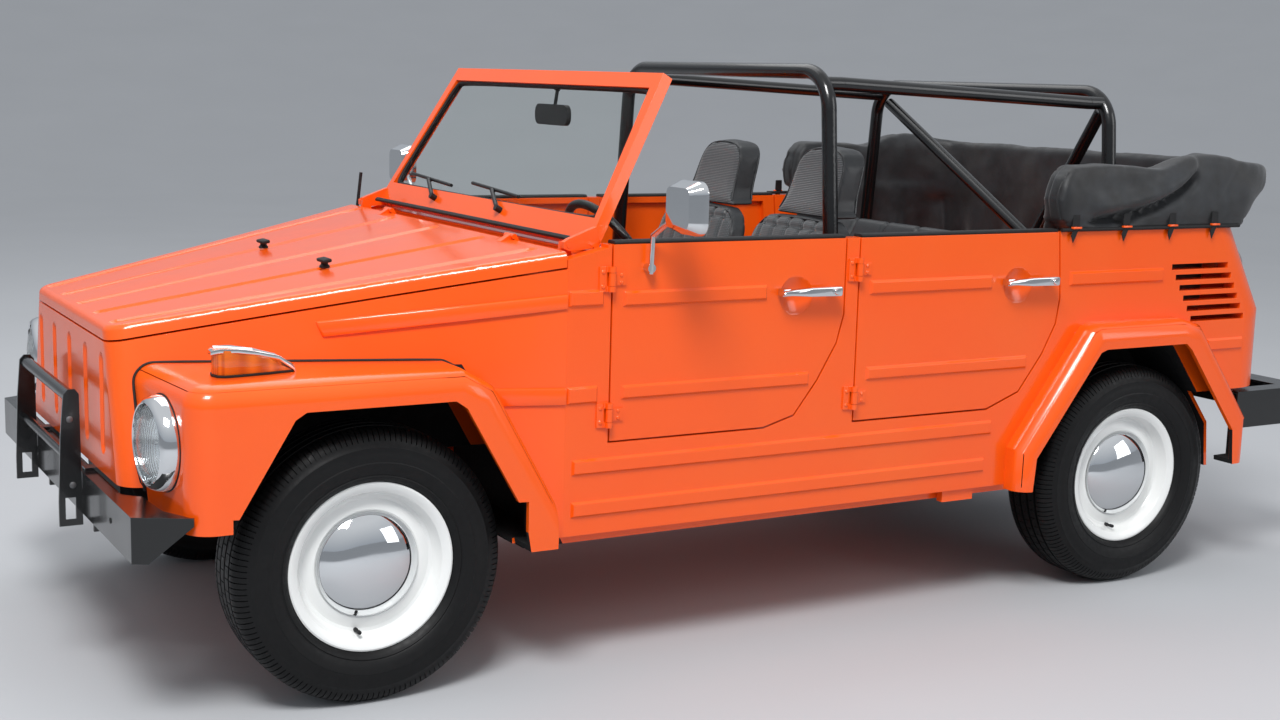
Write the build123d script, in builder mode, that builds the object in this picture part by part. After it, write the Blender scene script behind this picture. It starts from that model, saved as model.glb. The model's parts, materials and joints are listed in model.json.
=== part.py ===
from build123d import *
import os
from math import atan2, cos, degrees, hypot, radians, sin, tan

# Open-top utility car with four lift-off doors, a fold-flat windscreen, a tubular roll cage and a folded
# fabric top. Millimetres, +X forward, +Y to the driver's left, +Z up. The origin is on the ground under
# the middle of the car. Points written as (x, z) lie in a side view, points as (x, y) in a plan view.

os.makedirs("parts", exist_ok=True)

# Stance
wheelbase = 2400
front_axle_x = 1295
rear_axle_x = front_axle_x - wheelbase
tyre_radius = 332
tyre_width = 205
rim_radius = 190
wheel_z = tyre_radius

# Body shell
half_width = 746
wheel_y = half_width - 84
wall = 40
belt_z = 1072
sill_z = 350
body_front_x = 800
tail_x = -1693
tail_top_x = -1545
tail_bend_z = 812
tail_low_z = 569
tail_corner = 130
door_gap = 5
sheet = 12
seat_gap = 0.3

# Nose
nose_x = 1816
nose_low_z = 520
nose_half_low = half_width - 231
nose_half_high = half_width - 332
nose_level_low = 530
nose_level_high = 843
nose_corner = 62
nose_wall = 30
shut_front_z = 838
shut_rear_z = 1015
hood_top_front_z = 875
hood_top_rear_z = 1058
hood_gap = 5
hood_sheet = 14
hood_round = 18

# Doors, seen from the side
front_door_front_x = 680
front_door_low_z = 578
rear_door_front_x = -69
rear_door_low_z = 573

# Fenders
fender_out = 74
fender_y = half_width + fender_out
fender_sheet = 14
fender_round = 50
fender_corner = 64
fender_face_x = 1736
fender_face_turn = 4.9
wheel_wall_y = wheel_y - 267
wheel_house_y = wheel_y - 144
fender_top_z = 796
rear_fender_top_z = 808

# Pressed ribs
rib_height = 7
rib_taper = 40

# Hinges
hinge_axis_out = 11
hinge_radius = 9
hinge_pin = 5
pin_play = 0.08
hinge_long = 62
hinge_leaf = 5

# Windscreen
glass_low = (675, 1123)
glass_high = (492, 1443)
glass_half_low = half_width - 81
glass_half_high = half_width - 144
frame_thick = 30
frame_low_rail = 70
frame_top_rail = 43
frame_post = 38
glass_thick = 5
screen_pivot = (775, 1068)
screen_pivot_y = half_width - 65
screen_pin = 7

# Roll cage
cage_tube = 21
brace_tube = 19
front_hoop_x = -86
front_hoop_top = 1504
front_hoop_half = half_width - 199
rear_hoop_x = -1109
rear_hoop_top = 1467
rear_hoop_half = half_width - 186
hoop_splay = 0.094
hoop_bend = 110
rail_in = 22
rail_drop = 32
socket_long = 60

# Floor
floor_z = 340
floor_sheet = 18
tunnel_half = 75
tunnel_top = 460
deck_z = 745
head_x = 1372
rear_arm_y = wheel_y - 186

# Steering
kingpin_y = wheel_y - 82
kingpin_radius = 14
joint_rise = 80
spindle_radius = 18

# Lamps
headlamp_y = fender_y - 172
headlamp_toe = fender_face_turn
headlamp_x = fender_face_x + (fender_y - headlamp_y) * tan(radians(headlamp_toe)) + seat_gap
headlamp_z = 648
headlamp_bucket = 96
headlamp_ring = 108

# Bumpers
bumper_x = 1850
bumper_low = 407
bumper_high = 511
bumper_half = half_width + 4
bumper_sheet = 6
flange_side = 62
flange_back = 90
wrap_x = -1560
bumper_corner = 40
rear_bumper_x = -1890
rear_bumper_low = 440
rear_bumper_high = 556


def keep(name, builder):
    """Label a finished piece and write it."""
    builder.part.label = name
    export_step(builder.part, f"parts/{name}.step")


def keep_mirrored(name, builder):
    """Write the right-hand twin of a left-hand piece."""
    with BuildPart() as twin:
        mirror(builder.part, about=Plane.XZ)
    keep(name, twin)


def side(y):
    """A side-view sketch plane at this y: x forward, z up, extruding towards -Y."""
    return Plane(origin=(0, y, 0), x_dir=(1, 0, 0), z_dir=(0, -1, 0))


def along(start, end):
    """A sketch plane across the line from start to end."""
    return Plane(origin=start, z_dir=Vector(*end) - Vector(*start))


def slab(points, y, depth, mode=Mode.ADD):
    """A side-view outline at y, extruded towards -Y by depth."""
    with BuildSketch(side(y)) as face:
        with BuildLine():
            Polyline(*points, close=True)
        make_face()
    extrude(face.sketch, amount=depth, mode=mode)


def plan(points, z, height, mode=Mode.ADD):
    """A plan-view outline at z, extruded up by height."""
    with BuildSketch(Plane.XY.offset(z)) as face:
        with BuildLine():
            Polyline(*points, close=True)
        make_face()
    extrude(face.sketch, amount=height, mode=mode)


def block(x, y, z, mode=Mode.ADD):
    """A box between pairs of x, y and z."""
    with Locations(((x[0] + x[1]) / 2, (y[0] + y[1]) / 2, (z[0] + z[1]) / 2)):
        Box(abs(x[1] - x[0]), abs(y[1] - y[0]), abs(z[1] - z[0]), mode=mode)


def rod(start, end, radius, mode=Mode.ADD):
    """A round bar from start to end."""
    with BuildSketch(along(start, end)) as face:
        Circle(radius)
    extrude(face.sketch, amount=(Vector(*end) - Vector(*start)).length, mode=mode)


def rib(x_rear, x_front, z_low, z_high, y=half_width):
    """A raised pressing on the outer face at y."""
    with BuildSketch(side(y)) as face:
        with Locations(((x_rear + x_front) / 2, (z_low + z_high) / 2)):
            Rectangle(x_front - x_rear, z_high - z_low)
    extrude(face.sketch, amount=-rib_height, taper=rib_taper)


def dish(x, z, radius, depth):
    """A round hollow pressed into the outer face."""
    ball = (radius**2 + depth**2) / (2 * depth)
    with Locations((x, half_width + ball - depth, z)):
        Sphere(ball, mode=Mode.SUBTRACT)


def nose_half(z):
    """Half width of the nose at its front corner, at this height."""
    rise = (z - nose_level_low) / (nose_level_high - nose_level_low)
    return nose_half_low + rise * (nose_half_high - nose_half_low)


def nose_half_at(x, z):
    """Half width of the nose at this station and height."""
    return half_width - (x - body_front_x) * (half_width - nose_half(z)) / (nose_x - body_front_x)


def nose_rib(points):
    """A raised pressing on the nose's left side, its outline given as (x, z) on that side."""
    x = sum(p[0] for p in points) / len(points)
    z = sum(p[1] for p in points) / len(points)
    run = nose_x - body_front_x
    lean = (nose_half_high - nose_half_low) / (nose_level_high - nose_level_low)
    back = Vector(1, -(half_width - nose_half(z)) / run, 0)
    rise = Vector(0, lean * (x - body_front_x) / run, 1)
    sunk = 4
    face_plane = Plane(origin=(x, nose_half_at(x, z), z), x_dir=back, z_dir=rise.cross(back)).offset(-sunk)
    with BuildSketch(face_plane) as face:
        with BuildLine():
            corners = [face_plane.to_local_coords(Vector(px, nose_half_at(px, pz), pz)) for px, pz in points]
            Polyline(*[(corner.X, corner.Y) for corner in corners], close=True)
        make_face()
    extrude(face.sketch, amount=rib_height + sunk, taper=rib_taper)


def hood_top(x):
    """Height of the front lid's top skin."""
    fall = (hood_top_front_z - hood_top_rear_z) / (nose_x - body_front_x)
    return hood_top_rear_z + (x - body_front_x) * fall


def shut_line(x):
    """Height of the seam under the front lid."""
    return shut_rear_z + (x - body_front_x) * (shut_front_z - shut_rear_z) / (nose_x - body_front_x)


def tail_skin(z):
    """x of the rear skin at this height."""
    if z <= tail_bend_z:
        return tail_x
    return tail_x + (z - tail_bend_z) * (tail_top_x - tail_x) / (belt_z - tail_bend_z)


def tub(inset):
    """The body's volume behind the nose, its skin moved in by inset."""
    half = half_width - inset
    with BuildPart() as volume:
        for z in (sill_z, tail_bend_z, belt_z):
            with BuildSketch(Plane.XY.offset(z)) as level:
                back = tail_skin(z) + inset
                corners = [(body_front_x, half), (back, half), (back, -half), (body_front_x, -half)]
                with BuildLine():
                    Polyline(*corners, close=True)
                make_face()
                fillet(level.vertices().sort_by(Axis.X)[:2], tail_corner - inset)
        loft(ruled=True)
    return volume.part


def nose(inset):
    """The nose's volume, from the firewall forward, its skin moved in by inset."""
    with BuildPart() as volume:
        for z in (sill_z, belt_z + 20):
            with BuildSketch(Plane.XY.offset(z)) as level:
                front = nose_x - inset
                half = nose_half(z) - inset
                root = half_width - inset
                corners = [(body_front_x, root), (front, half), (front, -half), (body_front_x, -root)]
                with BuildLine():
                    Polyline(*corners, close=True)
                make_face()
                fillet(level.vertices().sort_by(Axis.X)[2:], nose_corner - inset)
        loft(ruled=True)
    return volume.part


tub_outer = tub(0)
tub_inner = tub(wall)
nose_outer = nose(0)
nose_inner = nose(nose_wall)

# Side-view outlines
tail_seam_x = tail_x + tail_corner
tail_seam_top_x = tail_top_x + tail_corner
front_door_outline = [
    (front_door_front_x, belt_z + 30),
    (front_door_front_x, front_door_low_z),
    (218, front_door_low_z),
    (121, 605),
    (51, 694),
    (-8, 792),
    (-29, 870),
    (-29, belt_z + 30),
]
rear_door_outline = [
    (rear_door_front_x, belt_z + 30),
    (rear_door_front_x, rear_door_low_z),
    (-539, rear_door_low_z),
    (-655, 616),
    (-736, 721),
    (-782, 808),
    (-793, 885),
    (-774, belt_z + 30),
]
rear_arch = [
    (-662, sill_z - 60),
    (-674, 435),
    (-896, 728),
    (-919, 736),
    (-1239, 736),
    (-1263, 716),
    (-1464, 457),
    (-1481, sill_z - 60),
]
front_arch = [
    (912, sill_z - 60),
    (938, 440),
    (1092, 708),
    (1120, 727),
    (1478, 727),
    (1504, 711),
    (1646, 477),
    (1646, sill_z - 60),
]
front_well = [
    (885, sill_z - 60),
    (885, 520),
    (1010, 735),
    (1600, 735),
    (1705, 560),
    (1705, sill_z - 60),
]


def shrink(points, amount):
    """An outline moved in by amount."""
    with BuildSketch() as shape:
        with BuildLine():
            Polyline(*points, close=True)
        make_face()
        offset(amount=-amount, kind=Kind.INTERSECTION)
    return shape.sketch


def cut_outline(sketch, y, depth, mode=Mode.SUBTRACT):
    """A ready side-view outline, placed at y and extruded towards -Y."""
    with BuildSketch(side(y)) as face:
        add(sketch)
    extrude(face.sketch, amount=depth, mode=mode)


# Floor pan with its tunnel, front frame head and rear torsion tube
with BuildPart() as floor_pan:
    block((-640, 888), (-half_width + wall, half_width - wall), (floor_z - floor_sheet, floor_z))
    with BuildSketch(Plane.YZ.offset(-760)) as tunnel:
        with Locations((0, (floor_z - floor_sheet + tunnel_top) / 2)):
            RectangleRounded(2 * tunnel_half, tunnel_top - floor_z + floor_sheet, 30)
    extrude(amount=760 + 880)
    block((880, head_x), (-105, 105), (300, 400))
    rod((-760, -rear_arm_y, 330), (-760, rear_arm_y, 330), 52)
    for hand in (1, -1):
        plan([(-740, 60 * hand), (-740, 130 * hand), (-1180, 235 * hand), (-1180, 165 * hand)], 354, 46)
keep("floor_pan", floor_pan)

# Body sides: sill, pillars and rear quarter in one pressing each
side_outline = [
    (body_front_x, sill_z),
    (body_front_x, 1038),
    (690, 1064),
    (690, belt_z),
    (tail_seam_top_x, belt_z),
    (tail_seam_x, tail_bend_z),
    (tail_seam_x, tail_low_z),
    (-1378, tail_low_z),
    (-1440, sill_z + 80),
    (-1440, sill_z),
]
louvre_rows = 6
louvre_pitch = 32
louvre_top_z = 966
louvre_tall = 17
with BuildPart() as side_panel:
    add(tub_outer)
    add(tub_inner, mode=Mode.SUBTRACT)
    slab(side_outline, half_width + 20, 400, mode=Mode.INTERSECT)
    slab(front_door_outline, half_width + 20, 100, mode=Mode.SUBTRACT)
    slab(rear_door_outline, half_width + 20, 100, mode=Mode.SUBTRACT)
    slab(rear_arch, half_width + 20, 100, mode=Mode.SUBTRACT)
    rib(-560, 780, 503, 543)
    rib(-540, 780, 396, 436)
    rib(-1195, -822, 916, 957)
    rib(-1556, -1400, 694, 732)
    rib(700, 797, 922, 963)
    rib(712, 797, 682, 726)
    block((-515, -405), (half_width - 34, half_width - 10), (sill_z - 34, sill_z + 2))
    for row in range(louvre_rows):
        z = louvre_top_z - row * louvre_pitch
        back = -1476 - 17 * row + 8
        front = -1231 - 18.8 * row
        with BuildSketch(side(half_width)):
            with BuildLine():
                Polyline((back, z), (front, z), (front, z - louvre_tall), (back, z - louvre_tall), close=True)
            make_face()
        extrude(amount=wall, mode=Mode.SUBTRACT)
    for door_x, rows in ((front_door_front_x, (988, 650)), (rear_door_front_x, (988, 642))):
        for z in rows:
            axis = (door_x + 3, half_width + hinge_axis_out)
            leaf_z = (z - hinge_long / 2, z + hinge_long / 2)
            block((axis[0] + 11, axis[0] + 32), (half_width, half_width + hinge_leaf), leaf_z)
            for low in (z - hinge_long / 2, z + hinge_long / 2 - 14):
                block((axis[0], axis[0] + 14), (half_width, half_width + hinge_leaf + 3), (low, low + 14))
                rod((*axis, low), (*axis, low + 14), hinge_radius)
            rod((*axis, z - hinge_long / 2), (*axis, z + hinge_long / 2), hinge_pin)
keep("side_panel_left", side_panel)
keep_mirrored("side_panel_right", side_panel)


def door(outline, front_x, ribs, hinge_rows, dish_x):
    """A pressed door: ribs and a handle dish outside, a pocket inside, hinge leaves at its front edge."""
    with BuildPart() as panel:
        with BuildSketch(side(half_width)):
            add(shrink(outline, door_gap))
        extrude(amount=wall)
        block((-2000, 2000), (0, 1000), (belt_z, 1300), mode=Mode.SUBTRACT)
        with BuildSketch(side(half_width - 22)):
            add(shrink(outline, door_gap + 45))
        extrude(amount=wall, mode=Mode.SUBTRACT)
        for x_rear, x_front, z_low, z_high in ribs:
            rib(x_rear, x_front, z_low, z_high)
        dish(dish_x, dish_z, dish_radius, dish_depth)
        for z in hinge_rows:
            axis = (front_x + 3, half_width + hinge_axis_out)
            low = z - hinge_long / 2 + 15
            high = z + hinge_long / 2 - 15
            block((axis[0] - 42, axis[0] - 8), (half_width, half_width + hinge_leaf), (low, high))
            block((axis[0] - 12, axis[0]), (half_width + 2, half_width + hinge_leaf + 3), (low, high))
            rod((*axis, low), (*axis, high), hinge_radius)
            rod((*axis, low - 1), (*axis, high + 1), hinge_pin + pin_play, mode=Mode.SUBTRACT)
    return panel


# Handles: each lies over a dish, its front end at the dish's front edge
handle_y = half_width + 34
handle_z = 937
handle_long = 181
handle_tube = 9
dish_z = 925
dish_radius = 53
dish_depth = 15
front_handle_x = 196
rear_handle_x = -562

# Each door's outline, hinge side, ribs as x and z ranges, hinge heights and handle front
front_ribs = [(222, 646, 918, 957), (80, 646, 686, 722)]
rear_ribs = [(-533, -108, 918, 957), (-676, -108, 686, 722)]
door_table = [
    ("front", front_door_outline, front_door_front_x, front_ribs, (988, 650), front_handle_x),
    ("rear", rear_door_outline, rear_door_front_x, rear_ribs, (988, 642), rear_handle_x),
]
for place, outline, front_x, ribs, rows, grip_x in door_table:
    panel = door(outline, front_x, ribs, rows, grip_x - dish_radius - 13)
    keep(f"door_{place}_left", panel)
    keep_mirrored(f"door_{place}_right", panel)
    with BuildPart() as handle:
        rod((grip_x, handle_y, handle_z), (grip_x - handle_long, handle_y, handle_z - 3), handle_tube)
        for post_x, post_radius in ((grip_x - 6, 6), (grip_x - handle_long + 26, handle_tube)):
            rod((post_x, half_width, handle_z), (post_x, handle_y, handle_z), post_radius)
    keep(f"door_handle_{place}_left", handle)
    keep_mirrored(f"door_handle_{place}_right", handle)

# Mirrors on the front doors
mirror_base = (581, 1013)
mirror_arm = 6.5
mirror_head = (555, half_width + 150, 1171)
with BuildPart() as door_mirror:
    rod((mirror_base[0], half_width, mirror_base[1]), (mirror_base[0], half_width + 26, mirror_base[1]), 11)
    arm_foot = (mirror_base[0], half_width + 20, mirror_base[1] - 14)
    arm_bend = (mirror_base[0] - 2, half_width + 22, 1093)
    rod(arm_foot, arm_bend, mirror_arm)
    rod(arm_bend, (562, half_width + 126, 1160), mirror_arm)
    with BuildSketch(Plane(origin=mirror_head, x_dir=(0, 1, 0), z_dir=(1, 0, 0))) as head:
        RectangleRounded(138, 130, 34)
    extrude(head.sketch, amount=34, taper=25)
    extrude(head.sketch, amount=-12)
keep("door_mirror_left", door_mirror)
keep_mirrored("door_mirror_right", door_mirror)

# Tail: rear skin round both corners, with the engine lid's opening
lid_half = 430
lid_low_z = 592
lid_high_z = 930
tail_outline = [
    (tail_seam_top_x, belt_z),
    (tail_seam_x, tail_bend_z),
    (tail_seam_x, tail_low_z),
    (tail_x - 50, tail_low_z),
    (tail_x - 50, belt_z),
]
lid_axis = (tail_skin(lid_high_z) - 10, lid_high_z + 12)
lid_hinge_y = 300
with BuildPart() as tail_panel:
    add(tub_outer)
    add(tub_inner, mode=Mode.SUBTRACT)
    slab(tail_outline, half_width + 20, 2 * half_width + 40, mode=Mode.INTERSECT)
    block((tail_x - 60, tail_x + 300), (-lid_half, lid_half), (lid_low_z, lid_high_z), mode=Mode.SUBTRACT)
    for y in (lid_hinge_y, -lid_hinge_y):
        rod((lid_axis[0], y - 30, lid_axis[1]), (lid_axis[0], y + 30, lid_axis[1]), hinge_pin)
        for end in (y - 30, y + 18):
            rod((lid_axis[0], end, lid_axis[1]), (lid_axis[0], end + 12, lid_axis[1]), 8)
            lug = [
                (lid_axis[0], lid_axis[1] - 4),
                (lid_axis[0], lid_axis[1] + 5),
                (tail_skin(975) + 3, 975),
                (tail_skin(945) + 3, 945),
            ]
            slab(lug, end + 12, 12)
keep("tail_panel", tail_panel)

with BuildPart() as engine_lid:
    add(tub_outer)
    add(tub_inner, mode=Mode.SUBTRACT)
    block(
        (tail_x - 60, tail_x + 300),
        (-lid_half + door_gap, lid_half - door_gap),
        (lid_low_z + door_gap, lid_high_z - door_gap),
        mode=Mode.INTERSECT,
    )
    for y in (lid_hinge_y, -lid_hinge_y):
        lug = [
            (lid_axis[0], lid_axis[1] - 7),
            (lid_axis[0] - 3, lid_axis[1]),
            (tail_skin(900) - 3, 900),
            (tail_skin(900) + 3, 900),
            (tail_skin(918) + 3, 918),
        ]
        slab(lug, y + 17, 34)
        rod((lid_axis[0], y - 17, lid_axis[1]), (lid_axis[0], y + 17, lid_axis[1]), 8)
        bore = ((lid_axis[0], y - 18, lid_axis[1]), (lid_axis[0], y + 18, lid_axis[1]))
        rod(*bore, hinge_pin + pin_play, mode=Mode.SUBTRACT)
keep("engine_lid", engine_lid)

# Rear floor: seat base, luggage deck and wheel houses
with BuildPart() as tail_shelf:
    add(tub_inner)
    shelf_x = (tail_x + wall + 6, -1480)
    block(shelf_x, (-half_width, half_width), (deck_z, deck_z + sheet), mode=Mode.INTERSECT)
with BuildPart() as rear_deck:
    slab(
        [
            (-640, floor_z - floor_sheet),
            (-640, 480),
            (-840, 480),
            (-900, deck_z + sheet),
            (-1600, deck_z + sheet),
            (-1600, deck_z),
            (-910, deck_z),
            (-850, 480 - sheet),
            (-640 - sheet, 480 - sheet),
            (-640 - sheet, floor_z - floor_sheet),
        ],
        wheel_house_y,
        2 * wheel_house_y,
    )
    for hand in (1, -1):
        near = half_width - wall if hand > 0 else -wheel_house_y
        far = wheel_house_y if hand > 0 else wall - half_width
        with BuildSketch(side(near)):
            add(shrink(rear_arch, -sheet))
        extrude(amount=near - far)
        slab(rear_arch, near + 1 if hand > 0 else near - sheet, near - far - sheet + 1, mode=Mode.SUBTRACT)
    block((-2000, 0), (-1000, 1000), (0, floor_z - floor_sheet), mode=Mode.SUBTRACT)
    block((-700, -600), (-tunnel_half - 1, tunnel_half + 1), (300, tunnel_top + 1), mode=Mode.SUBTRACT)
    for hand in (1, -1):
        arm_slot = ((wheel_house_y - 8) * hand, (wheel_house_y + 17) * hand)
        block((-1400, -600), arm_slot, (300, 480), mode=Mode.SUBTRACT)
        web = (wheel_house_y * hand, (half_width - wall) * hand)
        block((-655, -640), web, (floor_z - floor_sheet, floor_z))
    add(tail_shelf.part)
keep("rear_deck", rear_deck)

# Grooves: rear and front y of each on the front lid; the front panel's stand under their front ends
groove_rows = [(0, 0), (312, 180), (-312, -180), (618, 350), (-618, -350)]
groove_wide = 46
groove_deep = 6
groove_taper = 55
groove_low_z = 566
groove_high_z = 810
groove_rear_x = 818
groove_front_x = 1798

# Nose: slanted sides and front panel, open under the lid and over the wheels
nose_outline = [
    (body_front_x, sill_z),
    (900, sill_z),
    (900, nose_low_z),
    (nose_x + 20, nose_low_z),
    (nose_x + 20, shut_line(nose_x + 20)),
    (body_front_x, shut_rear_z),
]
with BuildPart() as nose_body:
    add(nose_outer)
    add(nose_inner, mode=Mode.SUBTRACT)
    slab(nose_outline, 900, 1800, mode=Mode.INTERSECT)
    for y in (wheel_wall_y - 5 + 510, 5 - wheel_wall_y):
        slab(front_well, y, 510, mode=Mode.SUBTRACT)
    for _, y in groove_rows:
        with BuildSketch(Plane.YZ.offset(nose_x)) as face:
            with Locations((y, (groove_low_z + groove_high_z) / 2)):
                SlotOverall(groove_high_z - groove_low_z, groove_wide, rotation=90)
        extrude(face.sketch, amount=-groove_deep, taper=groove_taper, mode=Mode.SUBTRACT)
with BuildPart() as nose_ribs:
    nose_rib([(803, 955), (803, 918), (1353, 852), (1367, 889)])
    nose_rib([(803, 726), (803, 682), (954, 682), (972, 726)])
with BuildPart() as nose_dressed:
    add(nose_body.part)
    add(nose_ribs.part)
    mirror(nose_ribs.part, about=Plane.XZ)
keep("nose_body", nose_dressed)

# Front bay: floor, inner walls beside the wheels and the shelves over them
with BuildPart() as front_bay:
    add(nose_inner)
    with BuildSketch(Plane.YZ.offset(body_front_x + 14)) as bay:
        for hand in (1, -1):
            with BuildLine():
                outer_y = wheel_wall_y * hand
                inner_y = (wheel_wall_y - 15) * hand
                far_y = (half_width + 14) * hand
                Polyline(
                    (0, nose_low_z),
                    (outer_y, nose_low_z),
                    (outer_y, 740),
                    (far_y, 740),
                    (far_y, 755),
                    (inner_y, 755),
                    (inner_y, nose_low_z + 15),
                    (0, nose_low_z + 15),
                    close=True,
                )
            make_face()
    extrude(amount=1200, mode=Mode.INTERSECT)
keep("front_bay", front_bay)

lid_hinge = (799, 1066)
lid_hinge_half = 420


def lid_hinge_at(y):
    """The front lid's hinge axis at this y."""
    return (lid_hinge[0], y, lid_hinge[1])


# Cowl: firewall, scuttle and dash, with the lugs that carry the windscreen
with BuildPart() as cowl:
    inner = half_width - wall
    slab(
        [
            (body_front_x, floor_z),
            (body_front_x, 1036),
            (640, 1060),
            (628, 1060),
            (628, 892),
            (640, 892),
            (640, 1048),
            (body_front_x - sheet, 1026),
            (body_front_x - sheet, floor_z),
        ],
        inner,
        2 * inner,
    )
    block((700, 900), (-tunnel_half, tunnel_half), (floor_z - 1, tunnel_top), mode=Mode.SUBTRACT)
    for hand in (1, -1):
        y = screen_pivot_y if hand > 0 else 12 - screen_pivot_y
        slab([(757, 1040), (763, screen_pivot[1] + 8), (787, screen_pivot[1] + 8), (793, 1035)], y, 12)
        start = (screen_pivot[0], (screen_pivot_y - 11) * hand, screen_pivot[1])
        end = (screen_pivot[0], (screen_pivot_y + 22) * hand, screen_pivot[1])
        rod(start, end, screen_pin)
    for y in (lid_hinge_half, -lid_hinge_half):
        rod((*lid_hinge_at(y - 26),), (*lid_hinge_at(y + 26),), 4)
        for end in (y - 26, y + 14):
            rod((*lid_hinge_at(end),), (*lid_hinge_at(end + 12),), 7)
            lug = [
                (776, 1037),
                (790, 1034),
                (lid_hinge[0] + 1, lid_hinge[1] - 6),
                (lid_hinge[0] - 6, lid_hinge[1] + 3),
            ]
            slab(lug, end + 12, 12)
keep("cowl", cowl)

# Front lid with its grooves, side lips and the two rubber rests
lid_rest_x = 1236
lid_rest_y = 250
rest_height = 42
slope = atan2(hood_top_rear_z - hood_top_front_z, nose_x - body_front_x)


def lid_plane(x):
    """The plane of the front lid's top skin, with its origin at this x and its own x running forward."""
    forward = (cos(slope), 0, -sin(slope))
    upward = (sin(slope), 0, cos(slope))
    return Plane(origin=(x, 0, hood_top(x)), x_dir=forward, z_dir=upward)


with BuildPart() as under_lid:
    add(nose(hood_sheet))
    slab(
        [
            (body_front_x - 10, 700),
            (nose_x + 30, 700),
            (nose_x + 30, hood_top(nose_x + 30) - hood_sheet),
            (body_front_x - 10, hood_top(body_front_x - 10) - hood_sheet),
        ],
        900,
        1800,
        mode=Mode.INTERSECT,
    )
with BuildPart() as front_lid:
    add(nose_outer)
    slab(
        [
            (body_front_x + 2, shut_line(body_front_x + 2) + hood_gap),
            (nose_x + 30, shut_line(nose_x + 30) + hood_gap),
            (nose_x + 30, hood_top(nose_x + 30)),
            (body_front_x + 2, hood_top(body_front_x + 2)),
        ],
        900,
        1800,
        mode=Mode.INTERSECT,
    )
    skin = front_lid.faces().filter_by(lambda f: f.center().Z > hood_top(f.center().X) - 1)[0]
    fillet(skin.edges().filter_by(lambda e: e.center().X > body_front_x + 10), hood_round)
    add(under_lid.part, mode=Mode.SUBTRACT)
    for rear_y, front_y in groove_rows:
        run = (groove_front_x - groove_rear_x) / cos(slope)
        turn = degrees(atan2(front_y - rear_y, run))
        with BuildSketch(lid_plane((groove_rear_x + groove_front_x) / 2)) as face:
            with Locations((0, (rear_y + front_y) / 2)):
                SlotOverall(hypot(run, front_y - rear_y), groove_wide, rotation=turn)
        extrude(face.sketch, amount=-groove_deep, taper=groove_taper, mode=Mode.SUBTRACT)
    for y in (lid_hinge_half, -lid_hinge_half):
        slab([(802, 1056), (800, 1068), (805, 1070), (832, 1053), (832, 1049)], y + 12, 24)
        rod(lid_hinge_at(y - 12), lid_hinge_at(y + 12), 7)
        rod(lid_hinge_at(y - 13), lid_hinge_at(y + 13), 4 + pin_play, mode=Mode.SUBTRACT)
keep("front_lid", front_lid)

with BuildPart() as lid_rests:
    for y in (lid_rest_y, -lid_rest_y):
        foot = (lid_rest_x, y, hood_top(lid_rest_x))
        tip = (lid_rest_x + rest_height * sin(slope), y, foot[2] + rest_height * cos(slope))
        rod(foot, tip, 9)
        neck = (lid_rest_x + 30 * sin(slope), y, foot[2] + 30 * cos(slope))
        rod(neck, tip, 24)
keep("lid_rests", lid_rests)


def headlamp_plane(hand):
    """The plane of a headlamp's ring, facing forward and a little outward."""
    out = (cos(radians(headlamp_toe)), hand * sin(radians(headlamp_toe)), 0)
    return Plane(origin=(headlamp_x, headlamp_y * hand, headlamp_z), x_dir=(0, 0, 1), z_dir=out)


# Front fenders, flared out from the nose
front_fender_outline = [
    (849, sill_z - 5),
    (845, 460),
    (1011, 752),
    (1090, fender_top_z),
    (1790, fender_top_z),
    (1790, 468),
    (1600, 468),
    (1600, sill_z - 5),
]
front_fender_inner_y = wheel_wall_y - 15


def fender_plan(inset):
    """A front fender's plan view with its round outer corner, moved in from the front by inset."""
    inner_x = fender_face_x + (fender_y - front_fender_inner_y) * tan(radians(fender_face_turn))
    with BuildSketch(Plane.XY.offset(300)) as face:
        with BuildLine():
            Polyline(
                (body_front_x, fender_y),
                (fender_face_x - inset, fender_y),
                (inner_x - inset, front_fender_inner_y),
                (body_front_x, front_fender_inner_y),
                close=True,
            )
        make_face()
        fillet(face.vertices().filter_by(lambda v: v.X > 1700 and v.Y > fender_y - 1), fender_corner)
    extrude(face.sketch, amount=600, mode=Mode.INTERSECT)


with BuildPart() as fender_hollow:
    cut_outline(shrink(front_fender_outline, fender_sheet), fender_y - fender_sheet, 460, mode=Mode.ADD)
    fender_plan(fender_sheet)
with BuildPart() as front_fender:
    slab(front_fender_outline, fender_y, fender_y - front_fender_inner_y)
    fender_plan(0)
    side_edges = front_fender.edges().filter_by(
        lambda e: e.center().Z > 475 and e.center().Y > fender_y - 0.01 and abs(e.tangent_at(0).Z) < 0.99
    )
    crown_edges = front_fender.edges().filter_by(
        lambda e: e.center().Z > fender_top_z - 0.01
        and e.center().X > 1650
        and front_fender_inner_y + 1 < e.center().Y < fender_y - 0.01
    )
    fillet(side_edges + crown_edges, fender_round)
    add(fender_hollow.part, mode=Mode.SUBTRACT)
    slab(front_arch, fender_y + 10, 100, mode=Mode.SUBTRACT)
    with Locations(headlamp_plane(1)):
        Cylinder(headlamp_bucket, 200, mode=Mode.SUBTRACT)
    slab([(930, 200), (1646, 200), (1646, 500), (930, 470)], fender_y + 10, 600, mode=Mode.SUBTRACT)
    add(nose_outer, mode=Mode.SUBTRACT)
    block((0, body_front_x), (0, 900), (0, 900), mode=Mode.SUBTRACT)
keep("front_fender_left", front_fender)
keep_mirrored("front_fender_right", front_fender)

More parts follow.
